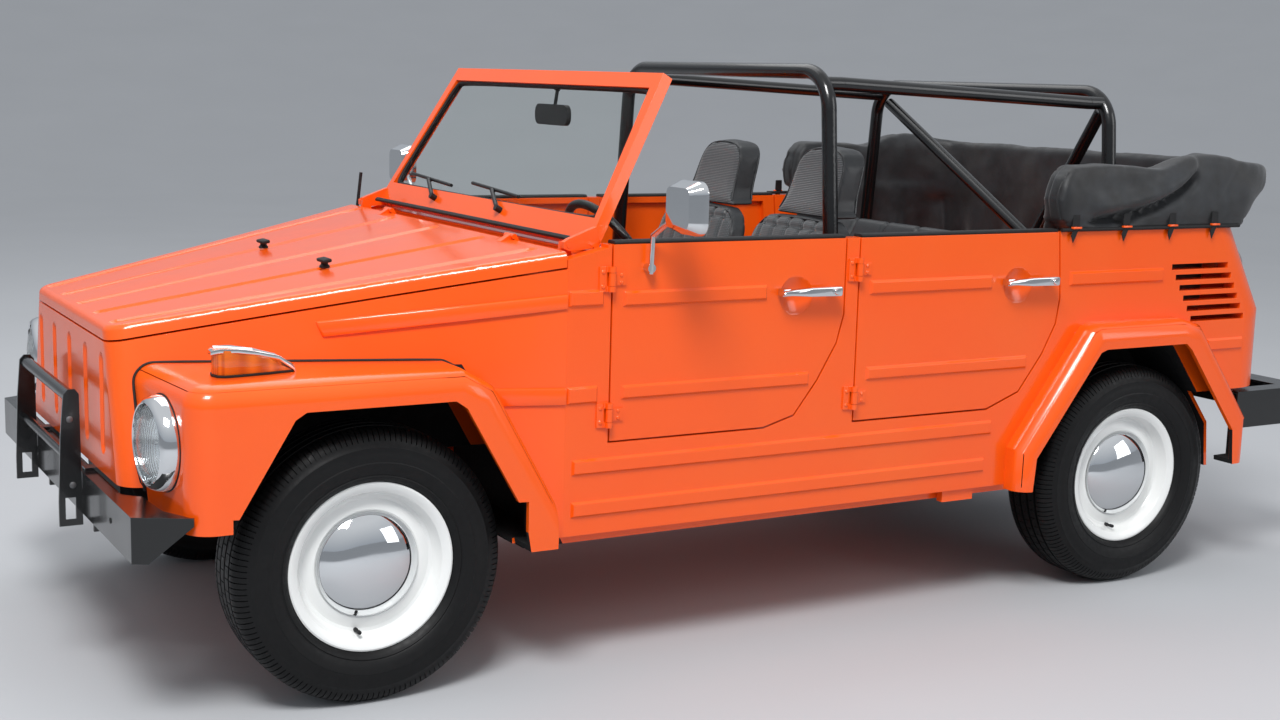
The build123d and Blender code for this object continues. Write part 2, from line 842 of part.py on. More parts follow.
# Rear fenders
rear_fender_outline = [
    (-620, sill_z - 12),
    (-622, 460),
    (-873, 797),
    (-903, rear_fender_top_z),
    (-1241, rear_fender_top_z),
    (-1318, 788),
    (-1540, 497),
    (-1540, sill_z),
]
with BuildPart() as rear_fender:
    slab(rear_fender_outline, fender_y, fender_y - half_width)
    outer_edges = rear_fender.edges().filter_by(
        lambda e: e.center().Z > 370 and abs(e.center().Y - fender_y) < 0.01
    )
    fillet(outer_edges, fender_round)
    cut_outline(shrink(rear_fender_outline, fender_sheet), fender_y - fender_sheet, 600)
    slab(rear_arch, fender_y + 10, 100, mode=Mode.SUBTRACT)
keep("rear_fender_left", rear_fender)
keep_mirrored("rear_fender_right", rear_fender)

# Windscreen frame, in the plane of the glass
rake = atan2(glass_high[1] - glass_low[1], glass_high[0] - glass_low[0])
up_slope = (cos(rake), sin(rake))
glass_height = hypot(glass_high[0] - glass_low[0], glass_high[1] - glass_low[1])
screen = Plane(origin=(glass_low[0], 0, glass_low[1]), x_dir=(0, 1, 0), z_dir=(up_slope[1], 0, -up_slope[0]))
frame_half_low = glass_half_low + frame_post
frame_half_high = glass_half_high + frame_post - 5
glass_outline = [
    (-glass_half_low, 0),
    (glass_half_low, 0),
    (glass_half_high, glass_height),
    (-glass_half_high, glass_height),
]
with BuildPart() as windscreen_frame:
    with BuildSketch(screen.offset(-frame_thick / 2)) as face:
        with BuildLine():
            Polyline(
                (-frame_half_low, -frame_low_rail),
                (frame_half_low, -frame_low_rail),
                (frame_half_high, glass_height + frame_top_rail),
                (-frame_half_high, glass_height + frame_top_rail),
                close=True,
            )
        make_face()
    extrude(amount=frame_thick)
    with BuildSketch(screen.offset(-frame_thick / 2)):
        with BuildLine():
            Polyline(*glass_outline, close=True)
        make_face()
    extrude(amount=frame_thick, mode=Mode.SUBTRACT)
    for hand in (1, -1):
        y = screen_pivot_y + 21 if hand > 0 else -screen_pivot_y - 3
        slab(
            [
                (screen_pivot[0] + 14, screen_pivot[1] - 8),
                (screen_pivot[0] + 14, screen_pivot[1] + 8),
                (screen_pivot[0], screen_pivot[1] + 16),
                (700, 1112),
                (690, 1076),
                (712, 1058),
                (screen_pivot[0], screen_pivot[1] - 14),
            ],
            y,
            18,
        )
        rod(
            (screen_pivot[0], (screen_pivot_y - 1) * hand, screen_pivot[1]),
            (screen_pivot[0], (screen_pivot_y + 24) * hand, screen_pivot[1]),
            screen_pin + pin_play,
            mode=Mode.SUBTRACT,
        )
keep("windscreen_frame", windscreen_frame)

with BuildPart() as windscreen_glass:
    with BuildSketch(screen.offset(-glass_thick / 2)):
        with BuildLine():
            Polyline(*glass_outline, close=True)
        make_face()
    extrude(amount=glass_thick)
keep("windscreen_glass", windscreen_glass)


def on_screen(y, height, out):
    """A point at this y and height up the screen, out along its front normal."""
    return (
        glass_low[0] + up_slope[0] * height + up_slope[1] * out,
        y,
        glass_low[1] + up_slope[1] * height - up_slope[0] * out,
    )


with BuildPart() as wipers:
    for pivot, elbow, tip in ((-300, -400, -560), (150, 50, -110)):
        rod(on_screen(pivot, -26, frame_thick / 2), on_screen(pivot, -26, 34), 9)
        rod(on_screen(pivot, -26, 28), on_screen(elbow, 26, 22), 6)
        rod(on_screen(elbow + 160, 22, 14), on_screen(tip, 40, 14), 5)
        rod(on_screen(elbow, 26, 22), on_screen(elbow - 4, 30, 12), 6)
keep("wipers", wipers)

with BuildPart() as interior_mirror:
    rod(on_screen(0, glass_height + 12, -frame_thick / 2), on_screen(0, glass_height + 12, -40), 8)
    rod(on_screen(0, glass_height + 12, -34), on_screen(0, glass_height - 50, -58), 5)
    with BuildSketch(Plane(origin=on_screen(0, glass_height - 62, -52), x_dir=(0, 1, 0), z_dir=(-1, 0, 0))):
        RectangleRounded(200, 58, 24)
    extrude(amount=14)
keep("interior_mirror", interior_mirror)


def hoop_y(half, top, z):
    """Half width of a splayed hoop at this height."""
    return half + hoop_splay * (top - z)


def hoop(x, half, top, foot_z):
    """A hoop of bent tube standing across the car."""
    foot_y = hoop_y(half, top, foot_z - 20)
    with BuildPart() as bent:
        with BuildLine() as path:
            FilletPolyline(
                (x, -foot_y, foot_z - 20),
                (x, -half, top),
                (x, half, top),
                (x, foot_y, foot_z - 20),
                radius=hoop_bend,
            )
        with BuildSketch(Plane(origin=path.line @ 0, z_dir=path.line % 0)):
            Circle(cage_tube)
        sweep(path=path.line)
        block((x - 60, x + 60), (-900, 900), (foot_z - 80, foot_z), mode=Mode.SUBTRACT)
        inward = socket_long if x < -600 else -socket_long
        for hand in (1, -1):
            rail_y = (half - rail_in) * hand
            rod((x, rail_y, top - rail_drop), (x + inward, rail_y, top - rail_drop), cage_tube - 2)
    return bent


front_hoop = hoop(front_hoop_x, front_hoop_half, front_hoop_top, floor_z)
keep("front_hoop", front_hoop)
rear_hoop = hoop(rear_hoop_x, rear_hoop_half, rear_hoop_top, deck_z + sheet)
brace_meet = (rear_hoop_x, 226, 931)
with BuildPart() as rear_cage:
    add(rear_hoop.part)
    rod(
        (rear_hoop_x, -rear_hoop_half + 60, rear_hoop_top - 60),
        (rear_hoop_x, hoop_y(rear_hoop_half, rear_hoop_top, 800), 800),
        brace_tube,
    )
    rod((rear_hoop_x, rear_hoop_half - 30, rear_hoop_top - 60), brace_meet, brace_tube)
keep("rear_hoop", rear_cage)

# Each rail runs between flat-ended sockets on the hoops
with BuildPart() as cage_rails:
    for hand in (1, -1):
        with BuildSketch(Plane.YZ.offset(front_hoop_x - socket_long)) as front_end:
            with Locations(((front_hoop_half - rail_in) * hand, front_hoop_top - rail_drop)):
                Circle(cage_tube - 2)
        with BuildSketch(Plane.YZ.offset(rear_hoop_x + socket_long)) as rear_end:
            with Locations(((rear_hoop_half - rail_in) * hand, rear_hoop_top - rail_drop)):
                Circle(cage_tube - 2)
        loft([front_end.sketch, rear_end.sketch])
keep("cage_rails", cage_rails)


# Seat sections as (x, z) outlines with their half widths: cushion, backrest, head section, base
seat_sections = [
    ([(350, 500), (385, 640), (-70, 600), (-50, 470)], 245),
    ([(-85, 500), (0, 560), (-150, 1110), (-235, 1110)], 245),
    ([(-146, 1100), (-192, 1290), (-262, 1290), (-230, 1100)], 130),
    ([(300, floor_z), (300, 510), (0, 510), (0, floor_z)], 180),
]


def seat(y, shift):
    """A high-back bucket seat, slid along its runners by shift."""
    with BuildPart() as bucket:
        for points, half in seat_sections:
            slab([(x + shift, z) for x, z in points], y + half, 2 * half)
    return bucket


with BuildPart() as front_seats:
    add(seat(300, 20).part)
    add(seat(-300, -37).part)
keep("front_seats", front_seats)

bench_half = wheel_house_y - 18
with BuildPart() as rear_bench:
    slab([(-300, 481), (-290, 610), (-760, 590), (-790, 481)], bench_half, 2 * bench_half)
    slab([(-760, 500), (-730, 600), (-850, 1050), (-900, 1050), (-905, 780)], bench_half, 2 * bench_half)
    block((-639.5, -300), (10 - bench_half, bench_half - 10), (floor_z, 492))
    block((-650, -290), (-tunnel_half - 1, tunnel_half + 1), (300, tunnel_top + 1), mode=Mode.SUBTRACT)
keep("rear_bench", rear_bench)

# Steering wheel and column
column_dir = (0.866, 0, -0.5)
hub = (430, 300, 965)
wheel_radius = 195


def down_column(distance):
    """A point this far down the steering column from the hub."""
    return tuple(hub[i] + column_dir[i] * distance for i in range(3))


ring_plane = Plane(origin=hub, x_dir=(0, 1, 0), z_dir=column_dir)
with BuildPart() as steering_wheel:
    with Locations(ring_plane):
        Torus(wheel_radius, 12)
        Cylinder(32, 44, align=(Align.CENTER, Align.CENTER, Align.MIN))
    for turn in (0, 180, 270):
        reach = wheel_radius - 4
        tip = ring_plane.from_local_coords(Vector(reach * cos(radians(turn)), reach * sin(radians(turn)), 2))
        rod(down_column(24), tuple(tip), 8)
keep("steering_wheel", steering_wheel)

with BuildPart() as steering_column:
    rod(down_column(44.5), down_column(397), 20)
    block((body_front_x - sheet - 10, body_front_x - sheet), (hub[1] - 45, hub[1] + 45), (700, 830))
keep("steering_column", steering_column)

# Folded fabric top lying round the tail
top_outline = [
    (-788, belt_z + 6),
    (-749, 1101),
    (-739, 1166),
    (-756, 1228),
    (-791, 1259),
    (-925, 1265),
    (-1170, 1250),
    (-1258, 1282),
    (-1340, 1297),
    (-1461, 1279),
    (-1560, 1264),
    (-1800, 1258),
    (-1800, 1150),
    (-1640, 1135),
    (-1560, belt_z + 4),
    (-1540, belt_z),
    (-788, belt_z),
]
with BuildPart() as folded_top:
    with BuildSketch(Plane.XY.offset(belt_z)) as outside:
        with BuildLine():
            reach = half_width + 6
            Polyline((-730, reach), (-1748, reach), (-1748, -reach), (-730, -reach), close=True)
        make_face()
        fillet(outside.vertices().group_by(Axis.X)[0], 250)
    extrude(amount=230)
    with BuildSketch(Plane.XY.offset(belt_z)) as inside:
        with BuildLine():
            reach = half_width - 124
            Polyline((-720, reach), (-1470, reach), (-1470, -reach), (-720, -reach), close=True)
        make_face()
        fillet(inside.vertices().group_by(Axis.X)[0], 120)
    extrude(amount=230, mode=Mode.SUBTRACT)
    fillet(folded_top.edges().group_by(Axis.Z)[-1], 45)
    slab(top_outline, 800, 1600, mode=Mode.INTERSECT)
keep("folded_top", folded_top)

# Front bumper, its brackets and tow eyes
bracket_y = 262
tow_bore = 13
tow_eye_z = bumper_low - 22
with BuildPart() as front_bumper:
    outer_plan = [
        (bumper_x, bumper_half),
        (1730, fender_y - 8),
        (1727, fender_y - 14),
        (bumper_x - bumper_sheet, bumper_half - 5),
    ]
    plan(
        [
            (bumper_x, -bumper_half),
            (bumper_x, bumper_half),
            (bumper_x - bumper_sheet, bumper_half),
            (bumper_x - bumper_sheet, -bumper_half),
        ],
        bumper_low,
        bumper_high - bumper_low,
    )
    for hand in (1, -1):
        plan([(x, y * hand) for x, y in outer_plan], bumper_low, bumper_high - bumper_low)
    plan(
        [
            (bumper_x - 1, -bumper_half),
            (bumper_x - 1, bumper_half),
            (1732, fender_y - 12),
            (1774, fender_y - 100),
            (1782, fender_y - 245),
            (nose_x + 2, nose_half_low + 20),
            (nose_x + 2, -nose_half_low - 20),
            (1782, 245 - fender_y),
            (1774, 100 - fender_y),
            (1732, 12 - fender_y),
        ],
        bumper_high - bumper_sheet,
        bumper_sheet,
    )
    slab([(1700, 390), (1835, 390), (1722, 500), (1700, 500)], 900, 1800, mode=Mode.SUBTRACT)
    for hand in (1, -1):
        y = (bracket_y * hand - 18, bracket_y * hand + 18)
        block((1600, bumper_x - bumper_sheet), y, (nose_low_z - 12, nose_low_z))
        block((bumper_x - bumper_sheet - 12, bumper_x - bumper_sheet), y, (420, nose_low_z))
        lug = (bracket_y * hand - 6, bracket_y * hand + 6)
        block((1760, 1824), lug, (tow_eye_z - 27, nose_low_z - 12))
        with Locations(Plane(origin=(1792, bracket_y * hand, tow_eye_z), z_dir=(0, 1, 0))):
            Cylinder(tow_bore, 40, mode=Mode.SUBTRACT)
keep("front_bumper", front_bumper)

# Brush guard: two slotted plates, a top tube and a middle tube
guard_y = 271
guard_sheet = 8
guard_plate = [
    (1905, 381),
    (1905, 440),
    (1898, 600),
    (1889, 700),
    (1878, 712),
    (1862, 712),
    (1853, 700),
    (bumper_x, 381),
]
guard_slot = [(1890, 396), (1890, 450), (1866, 450), (1866, 396)]
with BuildPart() as brush_guard:
    for hand in (1, -1):
        y = guard_y * hand + guard_sheet / 2
        slab(guard_plate, y, guard_sheet)
        slab(guard_slot, y, guard_sheet, mode=Mode.SUBTRACT)
    rod((1871, -guard_y, 692), (1871, guard_y, 692), 15)
    rod((1878, -guard_y, 545), (1878, guard_y, 545), 11)
keep("brush_guard", brush_guard)

# Rear bumper with long side wraps
def bumper_track(inset, corner, front_x):
    """The rear bumper's plan view, moved in by inset, as a face in the sketch at hand."""
    with BuildSketch(mode=Mode.PRIVATE) as track:
        with BuildLine():
            reach = half_width - inset
            back = rear_bumper_x + inset
            Polyline((front_x, reach), (back, reach), (back, -reach), (front_x, -reach), close=True)
        make_face()
        fillet(track.vertices().sort_by(Axis.X)[:2], corner)
    return track.sketch


with BuildPart() as rear_bumper:
    with BuildSketch(Plane.XY.offset(rear_bumper_low)):
        add(bumper_track(0, bumper_corner, wrap_x))
        add(bumper_track(bumper_sheet, bumper_corner - bumper_sheet, wrap_x + 60), mode=Mode.SUBTRACT)
    extrude(amount=rear_bumper_high - rear_bumper_low)
    with BuildSketch(Plane.XY.offset(rear_bumper_high - bumper_sheet)) as flange:
        add(bumper_track(2, bumper_corner - 2, wrap_x))
    extrude(flange.sketch, amount=bumper_sheet)
    block(
        (rear_bumper_x + flange_back, wrap_x + 60),
        (flange_side - half_width, half_width - flange_side),
        (rear_bumper_high - bumper_sheet, rear_bumper_high),
        mode=Mode.SUBTRACT,
    )
    for hand in (1, -1):
        y = (bracket_y * hand - 20, bracket_y * hand + 20)
        arm_z = (rear_bumper_high - 18, rear_bumper_high - bumper_sheet)
        block((rear_bumper_x + bumper_sheet, tail_x + wall), y, arm_z)
        block((tail_x + wall - 12, tail_x + wall), y, (rear_bumper_high - 18, tail_low_z))
    rear_eye_x = rear_bumper_x + 55
    rear_eye_z = rear_bumper_low - 28
    block((rear_eye_x - 35, rear_eye_x + 35), (-6, 6), (rear_eye_z - 28, rear_bumper_low + 30))
    eye_shelf_z = (rear_bumper_low + 18, rear_bumper_low + 30)
    block((rear_bumper_x + bumper_sheet, rear_eye_x + 35), (-30, 30), eye_shelf_z)
    with Locations(Plane(origin=(rear_eye_x, 0, rear_eye_z), z_dir=(0, 1, 0))):
        Cylinder(tow_bore, 40, mode=Mode.SUBTRACT)
keep("rear_bumper", rear_bumper)

# Headlamps: a deep bright ring round a domed lens, turned about the lamp's own axis as (radius, height)
headlamp_section = [
    (0, -60),
    (headlamp_bucket, -60),
    (headlamp_bucket, 0),
    (headlamp_ring, 0),
    (headlamp_ring - 3, 22),
    (headlamp_ring - 11, 38),
    (headlamp_ring - 17, 40),
    (headlamp_ring - 20, 32),
    (58, 44),
    (0, 50),
]
with BuildPart() as headlamps:
    for hand in (1, -1):
        face_on = headlamp_plane(hand)
        across = face_on.x_dir.cross(face_on.z_dir)
        with BuildSketch(Plane(origin=face_on.origin, x_dir=face_on.x_dir, z_dir=across)) as half:
            with BuildLine():
                Polyline(*headlamp_section, close=True)
            make_face()
        revolve(half.sketch, axis=Axis(face_on.origin, face_on.z_dir))
keep("headlamps", headlamps)

signal_y = fender_y - 140
with BuildPart() as turn_signals:
    for hand in (1, -1):
        y = signal_y + 35 if hand > 0 else 35 - signal_y
        slab([(1456, fender_top_z), (1462, 812), (1600, 862), (1650, 858), (1656, fender_top_z)], y, 70)
keep("turn_signals", turn_signals)

tail_lamp_y = half_width - 131
with BuildPart() as tail_lamps:
    for hand in (1, -1):
        lamp = [
            (tail_skin(880) - 1, 880),
            (tail_skin(880) - 52, 885),
            (tail_skin(1020) - 52, 1000),
            (tail_skin(1020) - 1, 1020),
        ]
        slab(lamp, tail_lamp_y + 45 if hand > 0 else 45 - tail_lamp_y, 90)
keep("tail_lamps", tail_lamps)

# Front axle: torsion tubes, trailing arms and king-pin carriers
tube_x = 1405
arm_y = kingpin_y - 132
with BuildPart() as front_axle:
    for rise in (joint_rise, -joint_rise):
        z = wheel_z + rise
        rod((tube_x, 18 - arm_y, z), (tube_x, arm_y - 18, z), 30)
        for hand in (1, -1):
            rod((tube_x, (arm_y - 23) * hand, z), (tube_x, (arm_y + 18) * hand, z), 24)
            block((front_axle_x - 20, tube_x), ((arm_y - 16) * hand, (arm_y + 16) * hand), (z - 17, z + 17))
            carrier_y = (arm_y * hand, (kingpin_y + 22) * hand)
            block((front_axle_x - 20, front_axle_x + 20), carrier_y, (z - 13, z + 13))
            rod(
                (front_axle_x, kingpin_y * hand, z - 20),
                (front_axle_x, kingpin_y * hand, z + 20),
                kingpin_radius + pin_play,
                mode=Mode.SUBTRACT,
            )
    for hand in (1, -1):
        tower_y = ((wheel_wall_y - 55) * hand, (wheel_wall_y - 19) * hand)
        block((tube_x - 22, tube_x + 22), tower_y, (wheel_z - 100, nose_low_z))
    block((head_x, tube_x), (-100, 100), (240, 424))
keep("front_axle", front_axle)


def knuckle(hand):
    """A knuckle: king pin, hub carrier and spindle."""
    y = kingpin_y * hand
    with BuildPart() as carrier:
        pin_reach = joint_rise + 24
        rod((front_axle_x, y, wheel_z - pin_reach), (front_axle_x, y, wheel_z + pin_reach), kingpin_radius)
        rod((front_axle_x, y, wheel_z - 58), (front_axle_x, y, wheel_z + 58), 26)
        rod((front_axle_x, y, wheel_z), (front_axle_x, (wheel_y + 40) * hand, wheel_z), spindle_radius)
    return carrier


keep("knuckle_left", knuckle(1))
keep("knuckle_right", knuckle(-1))

# Rear axle: hubs on trailing arms, half shafts
with BuildPart() as rear_axle:
    for hand in (1, -1):
        rod((rear_axle_x, 150 * hand, wheel_z), (rear_axle_x, (wheel_y + 40) * hand, wheel_z), spindle_radius)
        arm = (rear_arm_y * hand, (rear_arm_y + 18) * hand)
        block((-720, rear_axle_x), arm, (wheel_z - 42, wheel_z + 42))
        hub_y = (rear_arm_y - 46) * hand
        rod((rear_axle_x, hub_y, wheel_z), (rear_axle_x, (kingpin_y + 30) * hand, wheel_z), 62)
keep("rear_axle", rear_axle)

# Engine and gearbox in one block, and the silencer behind it
with BuildPart() as powertrain:
    plan([(-1180, 150), (-820, 52), (-820, -52), (-1180, -150)], 225, 230)
    block((-1560, -1180), (-330, 330), (260, 520))
    block((-1500, -1200), (-180, 180), (520, 720))
keep("powertrain", powertrain)
with BuildPart() as exhaust:
    rod((-1625, -300, 330), (-1625, 300, 330), 60)
    for hand in (1, -1):
        rod((-1560, 200 * hand, 330), (-1625, 200 * hand, 330), 24)
        rod((-1650, 180 * hand, 300), (-1840, 180 * hand, 285), 19)
keep("exhaust", exhaust)

with BuildPart() as antenna:
    antenna_y = 19 - half_width
    rod((784, antenna_y, 1043.6), (771, antenna_y, 1158), 5)
keep("antenna", antenna)


# How far the tyre's beads and the rim's flanges lie each side of the wheel's middle
bead_out = 72
rim_flange = 12
# Flat staves round a tyre, which keep its mesh light
tyre_sides = 48


def turned_wheel(section, x, hand):
    """A section of (radius, y) turned about the axle and placed at x, for either hand."""
    with BuildPart() as turned:
        with BuildSketch(Plane.XY):
            with BuildLine():
                Polyline(*section, close=True)
            make_face()
        revolve(axis=Axis.Y)
    with BuildPart() as placed:
        flip = turned.part if hand > 0 else turned.part.mirror(Plane.XZ)
        with Locations((x, 0, wheel_z)):
            add(flip)
    return placed


def wheel(x, hand):
    """A steel wheel: rim with flanges, dropped well, stepped disc and domed cap in one turned section."""
    hub_face = kingpin_y + 32
    inner = wheel_y - bead_out
    outer = wheel_y + bead_out
    section = [
        (spindle_radius + pin_play, hub_face),
        (118, hub_face),
        (118, wheel_y - 22),
        (158, wheel_y + 24),
        (158, inner + 4),
        (rim_radius - 8, inner - 8),
        (rim_radius + rim_flange, inner - 8),
        (rim_radius + rim_flange, inner),
        (rim_radius, inner),
        (rim_radius, outer),
        (rim_radius + rim_flange, outer),
        (rim_radius + rim_flange, outer + 6),
        (176, outer + 6),
        (166, wheel_y + 40),
        (124, wheel_y + 42),
        (116, wheel_y + 52),
        (84, wheel_y + 79),
        (0, wheel_y + 93),
        (0, wheel_y + 43),
        (spindle_radius + pin_play, wheel_y + 43),
    ]
    return turned_wheel(section, x, hand)


def tyre(x, hand):
    """A tyre with a flat tread and round shoulders in flat staves, its bead faces against the rim's flanges."""
    bore = rim_radius + 1.5
    bead = rim_radius + rim_flange + 4
    wide = rim_radius + 62
    half = tyre_width / 2
    section = [
        (bore, -bead_out),
        (bead, -bead_out),
        (wide, -half),
        (tyre_radius - 20, 10 - half),
        (tyre_radius, 40 - half),
        (tyre_radius, half - 40),
        (tyre_radius - 20, half - 10),
        (wide, half),
        (bead, bead_out),
        (bore, bead_out),
    ]
    middle = Vector(x, hand * wheel_y, wheel_z)
    stave = radians(360 / tyre_sides)
    rings = []
    for flat_radius, y in section:
        corner = flat_radius / cos(stave / 2)
        turns = [(count + 0.5) * stave for count in range(tyre_sides)]
        rings.append([middle + Vector(corner * sin(turn), y, corner * cos(turn)) for turn in turns])
    faces = []
    for ring, following in zip(rings, rings[1:] + rings[:1]):
        for count in range(tyre_sides):
            corners = [ring[count - 1], ring[count], following[count], following[count - 1]]
            faces.append(Face(Wire.make_polygon(corners)))
    with BuildPart() as staved:
        add(Solid(Shell(faces)))
    return staved


for place, x in (("front", front_axle_x), ("rear", rear_axle_x)):
    for hand_name, hand in (("left", 1), ("right", -1)):
        keep(f"wheel_{place}_{hand_name}", wheel(x, hand))
        keep(f"tyre_{place}_{hand_name}", tyre(x, hand))
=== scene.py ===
import json
import math

import bmesh
import bpy
from mathutils import Matrix, Vector
from mathutils.bvhtree import BVHTree


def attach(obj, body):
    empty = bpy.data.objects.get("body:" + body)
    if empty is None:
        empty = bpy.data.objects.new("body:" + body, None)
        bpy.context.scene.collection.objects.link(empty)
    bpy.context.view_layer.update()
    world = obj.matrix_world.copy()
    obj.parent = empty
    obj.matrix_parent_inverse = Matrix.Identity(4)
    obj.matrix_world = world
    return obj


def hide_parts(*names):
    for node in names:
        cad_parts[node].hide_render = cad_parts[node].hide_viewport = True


# Finishes, trim and soft parts for an open-top utility car, dressed round its packed construction.
# Metres, +X forward, +Y to the driver's left, +Z up, with the origin on the ground under the middle.

bl_info = {
    "name": "Open-top utility car dressing",
    "version": (1, 0, 0),
    "blender": (4, 5, 0),
    "location": "View3D > Sidebar > Utility car",
    "description": "Adds tyres, lamps, fabric top, upholstery and trim to the packed car",
    "category": "Object",
}

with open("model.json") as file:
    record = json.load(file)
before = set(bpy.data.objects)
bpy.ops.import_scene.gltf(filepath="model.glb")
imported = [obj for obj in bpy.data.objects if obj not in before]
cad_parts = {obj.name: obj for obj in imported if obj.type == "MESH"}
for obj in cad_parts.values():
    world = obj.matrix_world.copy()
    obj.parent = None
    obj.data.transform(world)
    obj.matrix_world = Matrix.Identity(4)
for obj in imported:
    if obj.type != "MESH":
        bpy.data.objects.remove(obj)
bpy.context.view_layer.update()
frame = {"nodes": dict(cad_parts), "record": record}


def srgb(code):
    """An sRGB hex colour as linear red, green, blue and alpha."""
    parts = [int(code[i : i + 2], 16) / 255 for i in (0, 2, 4)]
    linear = [c / 12.92 if c <= 0.04045 else ((c + 0.055) / 1.055) ** 2.4 for c in parts]
    return (*linear, 1.0)


def per(mm):
    """The texture scale whose features are this many millimetres across."""
    return 1000 / mm


def add_node(tree, kind, settings, inputs):
    """Add one node: settings are its properties, inputs are values or sockets to link."""
    made = tree.nodes.new(kind)
    for name, value in settings.items():
        setattr(made, name, value)
    for name, value in inputs.items():
        if isinstance(value, bpy.types.NodeSocket):
            tree.links.new(value, made.inputs[name])
        else:
            made.inputs[name].default_value = value
    return made


def new_material(name):
    """An empty node material, its tree and its object coordinates."""
    made = bpy.data.materials.new(name)
    made.use_nodes = True
    tree = made.node_tree
    tree.nodes.clear()
    return made, tree, add_node(tree, "ShaderNodeTexCoord", {}, {}).outputs["Object"]


def close_material(tree, inputs):
    """The shader that ends a material, with these inputs, and its output node."""
    shader = add_node(tree, "ShaderNodeBsdfPrincipled", {}, inputs)
    add_node(tree, "ShaderNodeOutputMaterial", {}, {"Surface": shader.outputs[0]})
    return shader


def noise(tree, place, mm, detail=2.0, roughness=0.5):
    """Cloudy noise with features this many millimetres across."""
    inputs = {"Vector": place, "Scale": per(mm), "Detail": detail, "Roughness": roughness}
    return add_node(tree, "ShaderNodeTexNoise", {}, inputs).outputs["Fac"]


def spread(tree, value, low, high, to_low, to_high):
    """The value's stretch from low to high, mapped to another range."""
    inputs = {"Value": value, "From Min": low, "From Max": high, "To Min": to_low, "To Max": to_high}
    return add_node(tree, "ShaderNodeMapRange", {}, inputs).outputs[0]


def mixed(tree, share, first, second):
    """Two colours mixed by a share."""
    made = add_node(tree, "ShaderNodeMix", {"data_type": "RGBA"}, {0: share, 6: first, 7: second})
    return made.outputs[2]


def bump(tree, height, depth_mm, strength=1.0):
    """A bump of this depth in millimetres."""
    inputs = {"Height": height, "Distance": depth_mm / 1000, "Strength": strength}
    return add_node(tree, "ShaderNodeBump", {}, inputs).outputs[0]


def coach_enamel(name, colour, faded, gloss=0.16):
    """Sprayed alkyd enamel, polished: deep gloss over slight orange peel, a little sun fade in clouds."""
    made, tree, place = new_material(name)
    clouds = spread(tree, noise(tree, place, 420, 3), 0.35, 0.75, 0, 0.5)
    peel = noise(tree, place, 7, 1)
    smears = spread(tree, noise(tree, place, 160, 4, 0.65), 0.4, 0.8, gloss, gloss + 0.1)
    close_material(tree, {
        "Base Color": mixed(tree, clouds, colour, srgb(faded)),
        "Roughness": smears,
        "IOR": 1.5,
        "Coat Weight": 0.2,
        "Coat Roughness": 0.05,
        "Normal": bump(tree, peel, 0.05),
    })
    return made


def chrome_plate():
    """Chromium over nickel, buffed: a mirror with the faintest haze."""
    made, tree, place = new_material("chrome plate")
    haze = spread(tree, noise(tree, place, 60, 4), 0.45, 0.8, 0.03, 0.1)
    close_material(tree, {"Base Color": srgb("DCDEE0"), "Metallic": 1.0, "Roughness": haze})
    return made


def laminated_glass():
    """Laminated soda-lime glass: clear, with the green of its iron."""
    made, tree, place = new_material("laminated glass")
    close_material(tree, {
        "Base Color": srgb("F9FDFB"),
        "Roughness": 0.0,
        "IOR": 1.05,
        "Transmission Weight": 1.0,
        "Specular IOR Level": 0.8,
    })
    return made


def tyre_rubber():
    """Carbon-black rubber, dressed: near black, satin, with fine mould grain."""
    made, tree, place = new_material("tyre rubber")
    dust = spread(tree, noise(tree, place, 35, 5, 0.6), 0.5, 0.85, 0, 0.5)
    close_material(tree, {
        "Base Color": mixed(tree, dust, srgb("070708"), srgb("151414")),
        "Specular IOR Level": 0.28,
        "Roughness": spread(tree, noise(tree, place, 12, 3), 0.3, 0.7, 0.42, 0.6),
        "Normal": bump(tree, noise(tree, place, 1.5, 2), 0.08),
    })
    return made


def worn_vinyl():
    """PVC-coated top fabric: charcoal leather grain, chalked pale and dusted brown in cloudy random patches."""
    made, tree, place = new_material("worn top vinyl")
    chalk = spread(tree, noise(tree, place, 90, 6, 0.7), 0.4, 0.75, 0, 0.6)
    dust = spread(tree, noise(tree, place, 220, 4, 0.6), 0.5, 0.8, 0, 0.35)
    worn = mixed(tree, chalk, srgb("0D0E10"), srgb("2B3036"))
    grain = add_node(tree, "ShaderNodeTexVoronoi", {}, {"Vector": place, "Scale": per(2.2)}).outputs[0]
    close_material(tree, {
        "Base Color": mixed(tree, dust, worn, srgb("332D28")),
        "Roughness": spread(tree, noise(tree, place, 50, 4), 0.3, 0.7, 0.45, 0.65),
        "Sheen Weight": 0.15,
        "Normal": bump(tree, grain, 0.25),
    })
    return made


def seat_vinyl():
    """Calendered PVC upholstery: black, soft gloss, fine hide grain."""
    made, tree, place = new_material("seat vinyl")
    grain = add_node(tree, "ShaderNodeTexVoronoi", {}, {"Vector": place, "Scale": per(1.8)}).outputs[0]
    close_material(tree, {
        "Base Color": mixed(tree, noise(tree, place, 80, 3), srgb("17181A"), srgb("24272A")),
        "Roughness": spread(tree, noise(tree, place, 40, 3), 0.3, 0.7, 0.36, 0.5),
        "Normal": bump(tree, grain, 0.2),
    })
    return made


def moulded(name, code, rough):
    """Moulded black rubber or plastic: even colour with a fine mould texture."""
    made, tree, place = new_material(name)
    close_material(tree, {
        "Base Color": mixed(tree, noise(tree, place, 25, 3), srgb(code), srgb("222223")),
        "Specular IOR Level": 0.3,
        "Roughness": spread(tree, noise(tree, place, 9, 3), 0.3, 0.7, rough - 0.06, rough + 0.06),
        "Normal": bump(tree, noise(tree, place, 1.2, 1), 0.06),
    })
    return made


# The period in millimetres of a wave texture at scale 1
WAVE_PERIOD = 314.16


